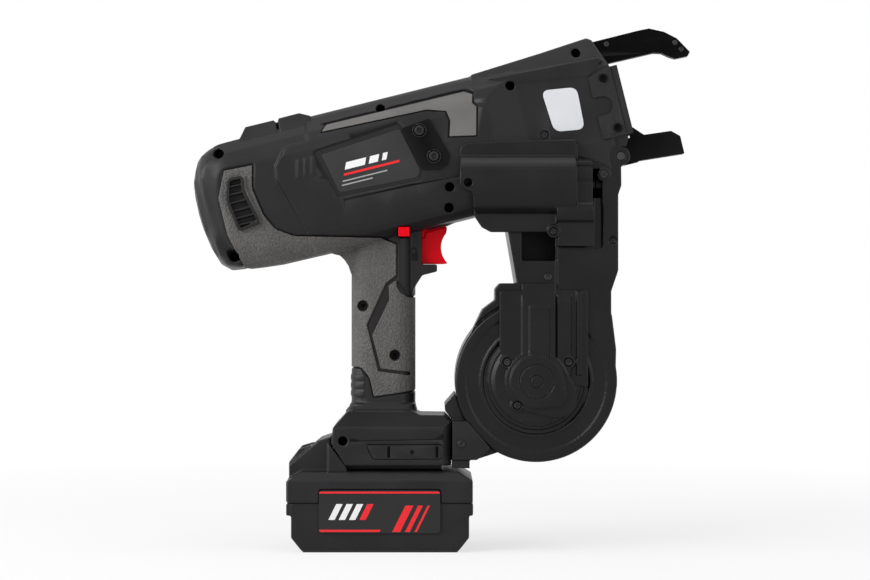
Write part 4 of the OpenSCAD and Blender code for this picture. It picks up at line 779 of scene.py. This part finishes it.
screws("plate_screw_heads", [(x, side * PLATE_FACE, z, side) for x, z, side in plate_places],
       3.2, 2.2, DARK_STEEL_AND_SHADE, "steel", "plate_screws")
collars = []
for x, z, side in plate_places:
    foot, top = side * PLATE_FACE, side * 38.2
    collars.append(lathe("collar", (x, z), [(3.8, foot), (4.5, foot), (4.4, top), (3.9, top)]))
dress(crisp(weld_on(collars[0], collars[1:]), 0.1), SCREW, "housing", "steel")
cover_places = [(x, -32.7, z) for x, z in FEED_SCREWS] + [HEAD_SCREW]
cover_places += [(x, -33.2, z) for x, z in DRUM_SCREWS]
screws("cover_screw_heads", [(x, y, z, -1) for x, y, z in cover_places],
       2.5, 1.4, SCREW, "steel", "cover_screws")
ear_places = [(*at_uv(u, v), side) for u, v in ((261.0, 19.0), (262.5, -13.5)) for side in SIDES]
screws("ear_screws", [(x, side * 32.5, z, side) for x, z, side in ear_places],
       2.7, 1.3, STEEL_BLACK, "black_steel")

# Feed motor cover: a lip, the motor's half round, the gear case with its lower round, and a plain foot
MOTOR_ROUND = (-27.3, 233.0)
GEAR_ROUND = (-33.6, 215.6)
cover_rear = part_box("feed_cover")[0][0] / MM
half_round = [(-31.0, 260.6), (-37.6, 260.6), (-38.4, 259.6), (-38.4, 251.6)]
half_round += bend_of(MOTOR_ROUND, 20.6, 122, 250)
half_round += [(-34.2, 212.6), (-34.2, 203.4), (-33.4, 202.2), (-31.0, 202.2)]
motor_cover = beam("motor_cover", half_round, cover_rear + 0.3, 123.4)
carve(motor_cover, [prism("corner", outline, -60.0, -20.0) for outline in (
    [(40.0, 190.0), (70.2, 190.0), (70.2, 202.0), (64.2, 205.2), (60.2, 211.0), (58.6, 217.5),
     (58.6, 225.0), (57.2, 227.6), (53.0, 228.8), (50.2, 231.5), (40.0, 232.0)],
    [(40.0, 270.0), (40.0, 252.0), (50.0, 252.0), (51.0, 255.5), (53.5, 257.6), (57.0, 258.2),
     (123.0, 260.8), (125.0, 270.0)],
)])
gear_case = [(-31.0, 248.3), (-36.0, 248.3), (-38.6, 246.2), (-38.8, 244.4), (-37.6, 243.5), (-38.9, 242.6),
             (-39.6, 239.0), (-39.6, 236.0), (-38.4, 234.1), (-39.4, 232.6), (-39.4, 220.0), (-31.0, 220.0)]
gear_round = [(-31.0, 223.5)] + bend_of(GEAR_ROUND, 7.9, 90, 270, 12) + [(-31.0, 207.7)]
weld_on(motor_cover, [
    beam("gear_case", gear_case, 124.4, 133.9), beam("gear_round", gear_round, 111.2, 134.3),
    beam("web", [(-31.0, 258.0), (-34.4, 258.0), (-34.4, 208.0), (-31.0, 208.0)], 122.0, 125.0),
    block("cover_foot", (112.0, -36.2, 193.4), (135.2, -31.0, 209.0)),
    *[rod_y("boss", x, face, -31.0, z, r) for (x, z), face, r in zip(FEED_SCREWS, (-37.6, -37.0), (4.6, 4.0))],
])
soften(motor_cover, 0.45, 3, 70000)
carve(motor_cover, [rod_y("hole", x, -50.0, -32.6, z, 2.7) for x, z in FEED_SCREWS])
dress(motor_cover, DRUM_BLACK, "housing", "black_plastic", "feed_cover")

# Magazine frame: stepped rings and a rounded rim on the drum, seams and panels on the arm
magazine = cad_copy("magazine_body", "magazine_frame")
rings = [lathe("ring", REEL, [(r0, -31.5), (r1, -31.5), (r1, HEAD_FACE + deep), (r0, HEAD_FACE + deep)])
         for r0, r1, deep in ((35.4, 44.7, 0.8), (30.4, 33.4, 1.4))]
rim_corner = [(49.4, -31.6), (52.5, -31.6), (52.5, -28.4), (51.1, -29.9), (50.4, -30.7)]
rim = [lathe("rim", REEL, rim_corner, 116, 356)]
seams = [prism("seam", stroke(line, width), -32.0, HEAD_FACE + deep) for line, width, deep in (
    ([(111.5, 166.0), (111.5, 193.0)], 1.2, 1.4),
    ([(112.0, 185.2), (115.9, 185.2)], 0.7, 0.9),
    ([(115.9, 185.5), (115.9, 179.6), (130.4, 179.6), (130.4, 185.5)], 0.7, 0.9),
    ([(130.4, 185.2), (151.0, 185.2)], 0.7, 0.9),
    ([(141.0, 150.0), (141.0, 230.0)], 0.7, 0.6),
    ([(112.0, 194.0), (130.0, 194.0)], 1.4, 0.9),
)]
recess = [block("recess", (89.5, -32.0, 184.2), (110.6, -20.0, 206.0)),
          block("channel", (134.6, -32.0, 192.0), (140.6, -28.8, 238.0)),
          rod_y("column_hole", 147.2, -32.0, -28.8, 197.2, 2.4)]
carve(magazine, rings + rim + seams + recess)
weld_on(magazine, [block("window_post", (140.3, -31.0, 220.0), (144.0, -28.4, 246.0)),
                   rod_y("screw_post", 141.2, -31.8, -28.4, 238.6, 4.0)])
dress(soften(magazine, 0.6, 3, 120000), DRUM_BLACK, "housing", "black_plastic", "magazine_frame")


# Magazine cover: plates, strips with sloping ends and the hub's teardrop boss
def ramp_block(name, x0, x1, z0, z1, z_end, y_back, y_face):
    """A strip up the cover whose upper end slopes back."""
    section = [(y_back, z0), (y_face, z0), (y_face, z1), (y_face + 3.4, z_end), (y_back, z_end)]
    return beam(name, section, x0, x1)


def teardrop(r, far_r, reach, steps=20):
    """A circle drawn out towards the lower right."""
    lean = math.radians(-38)
    spread = math.acos((r - far_r) / reach)
    first = [lean + spread + (2 * math.pi - 2 * spread) * i / steps for i in range(steps + 1)]
    last = [lean - spread + 2 * spread * i / steps for i in range(steps + 1)]
    end = (REEL[0] + reach * math.cos(lean), REEL[1] + reach * math.sin(lean))
    return ([(REEL[0] + r * math.cos(a), REEL[1] + r * math.sin(a)) for a in first]
            + [(end[0] + far_r * math.cos(a), end[1] + far_r * math.sin(a)) for a in last])


LEFT_PLATE = [(75.4, 128.0), (75.4, 165.2), (92.0, 165.2), (92.0, 112.0), (84.0, 112.0)]
RIGHT_PLATE = [(108.0, 110.0), (131.4, 104.0), (131.4, 165.6), (108.0, 165.6)]
hub_profile = [(0.0, -33.4), (26.0, -33.4), (28.6, -31.6), (28.6, -30.0), (0.0, -30.0)]
hub_cover = lathe("hub_cover", REEL, hub_profile)
plates = [
    prism("left_plate", rounded(LEFT_PLATE, 2.5), -34.6, -30.6),
    prism("right_plate", rounded(RIGHT_PLATE, 2.0), -33.6, -30.6),
    ramp_block("middle_strip", 89.4, 110.6, 112.0, 156.0, 170.0, -30.6, -36.4),
    ramp_block("middle_rib", 94.2, 106.6, 112.0, 154.5, 157.5, -32.0, -37.8),
    ramp_block("right_strip", 111.8, 120.4, 112.0, 158.4, 165.4, -30.6, -36.0),
    block("right_rib", (124.0, -35.0, 112.0), (127.4, -31.0, 164.6)),
    prism("hub_skirt", teardrop(19.4, 13.0, 16.0), -36.6, -31.0),
    prism("hub_boss", teardrop(16.6, 7.5, 14.0), -39.4, -31.0),
]
plates += [rod_y("screw_boss", x, -35.6, -31.0, z, 4.2) for x, z in DRUM_SCREWS]
weld_on(hub_cover, plates)
soften(hub_cover, 0.45, 2, 70000)
marks = [lathe("hub_mark", REEL, [(r, -40.0), (r + 0.7, -40.0), (r + 0.7, -38.9), (r, -38.9)])
         for r in (3.6, 10.4)]
marks += [rod_y("screw_seat", x, -40.0, -33.0, z, 3.0) for x, z in DRUM_SCREWS]
carve(hub_cover, marks)
dress(hub_cover, DRUM_BLACK, "housing", "black_plastic", "magazine_cover")

# Far-side cover, reel door and saddle
frame_back = crisp(cad_copy("frame_back", "frame_cover"), 0.6, 3)
dress(frame_back, DRUM_BLACK, "housing", "black_plastic", "frame_cover")
reel_lid = crisp(cad_copy("reel_lid", "reel_door"), 0.7, 3)
dress(reel_lid, DRUM_BLACK, "door", "black_plastic", "reel_door")
cradle = cad_copy("drum_cradle", "saddle")
corner = [(34.0, 91.7), (39.8, 91.5), (48.0, 100.9), (48.0, 108.0), (34.0, 108.0)]
carve(cradle, [prism("corner", corner, -60.0, 60.0)])
BRACKET = [(45.6, 82.6), (55.2, 82.6), (69.4, 66.0), (61.2, 58.2), (45.6, 58.2)]
bracket = [prism("bracket", BRACKET, -32.6, -22.0),
           block("bracket_foot", (45.2, -31.0, 52.9), (56.6, -22.0, 59.0))]
dress(soften(weld_on(cradle, bracket), 0.5, 2, 40000), BLACK, "housing", "black_steel", "saddle")
screws("frame_screws", [(141.2, -31.7, 238.6, -1), (106.2, -31.0, 173.9, -1), (51.3, -32.6, 68.4, -1)],
       2.5, 1.2, SCREW, "steel")

# Battery: cases, printed label and ridged latch
WING = [(-33.0, 51.0), (-33.0, 67.4), (-31.6, 67.4), (-21.2, 53.4), (-21.2, 51.0)]
LATCH_WALL = [(-58.4, 46.0), (-58.4, 56.0), (-52.0, 64.4), (-44.5, 66.6), (-44.5, 46.0)]
wings = [prism("wing", WING, *span(side, 24.0, 33.4)) for side in SIDES]
wings += [prism("latch_wall", LATCH_WALL, *span(side, 12.0, 20.0)) for side in SIDES]
wings.append(block("rear_band", (-59.3, -36.0, 32.2), (-56.0, 36.0, 45.4)))
bumpers = [block("bumper", (x, -35.6, 23.4), (x + 3.2, 35.6, 31.0)) for x in (-59.3, 55.5)]
for word, extra in (("upper", wings), ("lower", bumpers)):
    node = f"battery_{word}_case"
    shell = weld_on(cad_copy(f"battery_{word}_shell", node), extra)
    soften(shell, 0.6, 4, 60000)
    if word == "upper":
        latch_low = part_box("battery_latch")[0][2] / MM
        carve(shell, [block("latch_pocket", (-54.9, -11.5, latch_low - 3.4), (-40.2, 11.5, latch_low + 6.0)),
                      block("bar_groove", (-41.0, -6.7, latch_low - 0.9), (-21.8, 6.7, latch_low + 5.2))])
    dress(shell, BLACK, "battery", "black_plastic", node)
label_low, label_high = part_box("battery_label")
label = prism("battery_film", rounded([(-38.4, 12.6), (38.0, 12.6), (38.0, 39.6), (-38.4, 39.6)], 3.0),
              label_low[1] / MM, label_high[1] / MM)
dress(crisp(label, 0.15), LABEL_PRINT, "battery", "label_print", "battery_label")
latch = cad_copy("latch_button", "battery_latch")
latch_ridges = []
for i in range(5):
    x = -53.2 + 2.7 * i
    z = 60.2 + (x + 54.6) * 0.5
    ridge = [(x - 0.6, z - 1.0), (x + 0.8, z - 1.0), (x + 0.5, z + 1.0), (x - 0.4, z + 1.0)]
    latch_ridges.append(prism("ridge", ridge, -9.8, 9.8))
dress(soften(weld_on(latch, latch_ridges), 0.3, 2, 24000), BLACK, "latch", "black_plastic", "battery_latch")

# Trigger and lock button
FINGER_TOP = [(25.4, 194.0), (25.4, 206.9), (41.0, 208.6), (41.6, 206.2), (38.6, 203.0), (37.8, 200.5),
              (36.0, 194.0)]
red_trigger = cad_copy("red_trigger", "trigger")
weld_on(red_trigger, [prism("finger_top", FINGER_TOP, -6.2, 6.2)])
dress(soften(red_trigger, 0.34, 4, 30000), RED, "trigger", "red_plastic", "trigger")
dress(crisp(cad_copy("red_lock_button", "lock_button"), 0.5, 3), RED, "lock", "red_plastic", "lock_button")
MARK_FACE, MARK_BACK = -13.5, -12.9
padlock = block("padlock_mark", (18.3, MARK_FACE, 184.4), (23.6, MARK_BACK, 189.2))
bow = [(1.2, MARK_FACE), (2.0, MARK_FACE), (2.0, MARK_BACK), (1.2, MARK_BACK)]
shackle = [lathe("shackle", (20.95, 191.0), bow, 0, 180, 20)]
shackle += [block("leg", (x, MARK_FACE, 189.0), (x + 0.8, MARK_BACK, 191.1)) for x in (18.95, 22.15)]
dress(crisp(weld_on(padlock, shackle), 0.1), STEEL_BLACK, "housing", "black_steel")


# Wound wire: the outer layer's turns over a solid core
def wire_turns(name, centre, core_r, r, wire_r, y0, y1, sides=7, parts=56):
    """A helix of round wire at a radius, with the layers below it as one ring."""
    bm = bmesh.new()
    pitch = 2.06 * wire_r
    turns = int((y1 - y0 - 2 * wire_r) / pitch)
    rings = []
    for i in range(turns * parts + 1):
        a = 2 * math.pi * i / parts
        y = y0 + wire_r + pitch * i / parts
        ring = []
        for k in range(sides):
            b = 2 * math.pi * k / sides
            reach = r + wire_r * math.cos(b)
            x, z = centre[0] + reach * math.cos(a), centre[1] + reach * math.sin(a)
            ring.append(bm.verts.new((x * MM, (y + wire_r * math.sin(b)) * MM, z * MM)))
        rings.append(ring)
    for one, two in zip(rings, rings[1:]):
        for k in range(sides):
            n = (k + 1) % sides
            bm.faces.new((one[k], one[n], two[n], two[k]))
    bm.faces.new(rings[0])
    bm.faces.new(rings[-1])
    piece = from_bmesh(name, bm)
    core = lathe("core", centre, [(core_r, y0), (r, y0), (r, y1), (core_r, y1)])
    return weld_on(piece, [core])


winding_low, winding_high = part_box("wire_winding")
winding_r = (winding_high[0] - winding_low[0]) / 2 / MM
turns = wire_turns("wound_wire", REEL, 22.1, winding_r - 0.5, 0.46, winding_low[1] / MM, winding_high[1] / MM)
dress(turns, STEEL, "reel", "steel", "wire_winding")

# Pieces that keep their own solids and only take a finish
FINISHED = {
    # The lower guide pin takes the dark steel as painted shade for the dark hole it sits in.
    "housing_screws": STEEL_BLACK, "lower_guide_pin": DARK_STEEL_AND_SHADE, "lower_guide_spring": STEEL,
    "motor_stator": COPPER, "rotor_shaft": STEEL, "rotor_core": IRON, "cooling_fan": BLACK,
    "ball_bearings": STEEL, "ring_gear": IRON, "planet_gear_1": STEEL, "planet_gear_2": STEEL,
    "planet_gear_3": STEEL, "gear_carrier": IRON, "twist_sleeve": IRON, "near_hook": STEEL, "far_hook": STEEL,
    "trigger_spring": STEEL, "trigger_switch": BLACK, "controller_board": BOARD, "feed_motor": IRON,
    # The feed pinion and the rollers take the dark steel as painted shade for the shaded window they show
    # through.
    "feed_pinion": DARK_STEEL_AND_SHADE, "drive_roller": DARK_STEEL_AND_SHADE, "idler_roller": DARK_STEEL_AND_SHADE, "hub_shaft": STEEL,
    "wire_reel": DRUM_BLACK, "wire_tube": STEEL, "door_pin": STEEL, "battery_cells": CELL,
}
for node, finish in FINISHED.items():
    nodes[node].data.materials.clear()
    nodes[node].data.materials.append(finish)


# Floor, light and camera
def seen_directly(f):
    """One for rays from the camera, and for what mirrors and glass show."""
    path = f.node("LightPath").socket.node
    camera, glossy, through = [Wire(f, path.outputs[word]) for word in
                               ("Is Camera Ray", "Is Glossy Ray", "Is Transmission Ray")]
    return (camera + glossy + through).math("MINIMUM", 1.0)


PURE_WHITE = (1.0, 1.0, 1.0)
FLOOR_HALF = 6000
corners = [(-FLOOR_HALF, -FLOOR_HALF), (FLOOR_HALF, -FLOOR_HALF), (FLOOR_HALF, FLOOR_HALF),
           (-FLOOR_HALF, FLOOR_HALF)]
floor = tower("floor", corners, -2.0, 0.0)
f = Finish("pale_floor")
pale = f.mix(f.noise(3.0, 2.0), (0.88, 0.88, 0.88), (0.92, 0.92, 0.92))
plain = f.node("BsdfPrincipled", inputs={"Base Color": pale, "Roughness": 0.9, "Specular IOR Level": 0.05})
glow = f.node("Emission", inputs={"Color": PURE_WHITE, "Strength": 1.0})
# The floor keeps the shadow near the tool and merges with the white background further off
apart = f.node("VectorMath", {"operation": "LENGTH"}, {0: f.place()}, output="Value")
share = seen_directly(f) * f.spread(apart, 0.2, 0.8, 0.7, 1.0)
f.node("OutputMaterial", inputs={"Surface": f.node("MixShader", inputs={0: share, 1: plain, 2: glow})})
floor.data.materials.append(f.material)

world = bpy.data.worlds.new("studio")
world.use_nodes = True
bpy.context.scene.world = world


class Sky(Finish):
    """The world's node tree, filled through the same method."""

    def __init__(self, tree):
        self.tree = tree
        self.tree.nodes.clear()


sky = Sky(world.node_tree)
level = sky.spread(seen_directly(sky), 0.0, 1.0, 0.28, 1.0)
background = sky.node("Background", inputs={"Color": PURE_WHITE, "Strength": level})
sky.node("OutputWorld", inputs={"Surface": background})


def lamp(name, place, aim, size, power):
    """A rectangular lamp: places and sizes in metres, power in watts."""
    data = bpy.data.lights.new(name, "AREA")
    data.shape = "RECTANGLE"
    data.size, data.size_y = size
    data.energy = power
    made = link(name, data)
    made.location = place
    made.rotation_euler = (Vector(aim) - Vector(place)).to_track_quat("-Z", "Y").to_euler()


lamp("key", (-1.6, -1.5, 1.2), (0.0, 0.0, 0.18), (1.5, 1.2), 42)
lamp("left", (-2.0, -0.3, 0.5), (0.0, 0.0, 0.2), (0.9, 1.2), 22)
lamp("fill", (1.7, -1.5, 0.9), (0.05, 0.0, 0.18), (1.6, 1.6), 12)
lamp("top", (0.1, -0.2, 2.1), (0.05, 0.0, 0.2), (1.8, 1.0), 11)

eye = bpy.data.cameras.new("camera")
eye.lens = 98.5
eye.sensor_width = 36.0
camera = link("camera", eye)
camera.location = (0.03465, -1.536, 0.1657)
camera.rotation_euler = (math.radians(90), 0.0, 0.0)
bpy.context.scene.camera = camera
bpy.context.scene.view_settings.view_transform = "Standard"
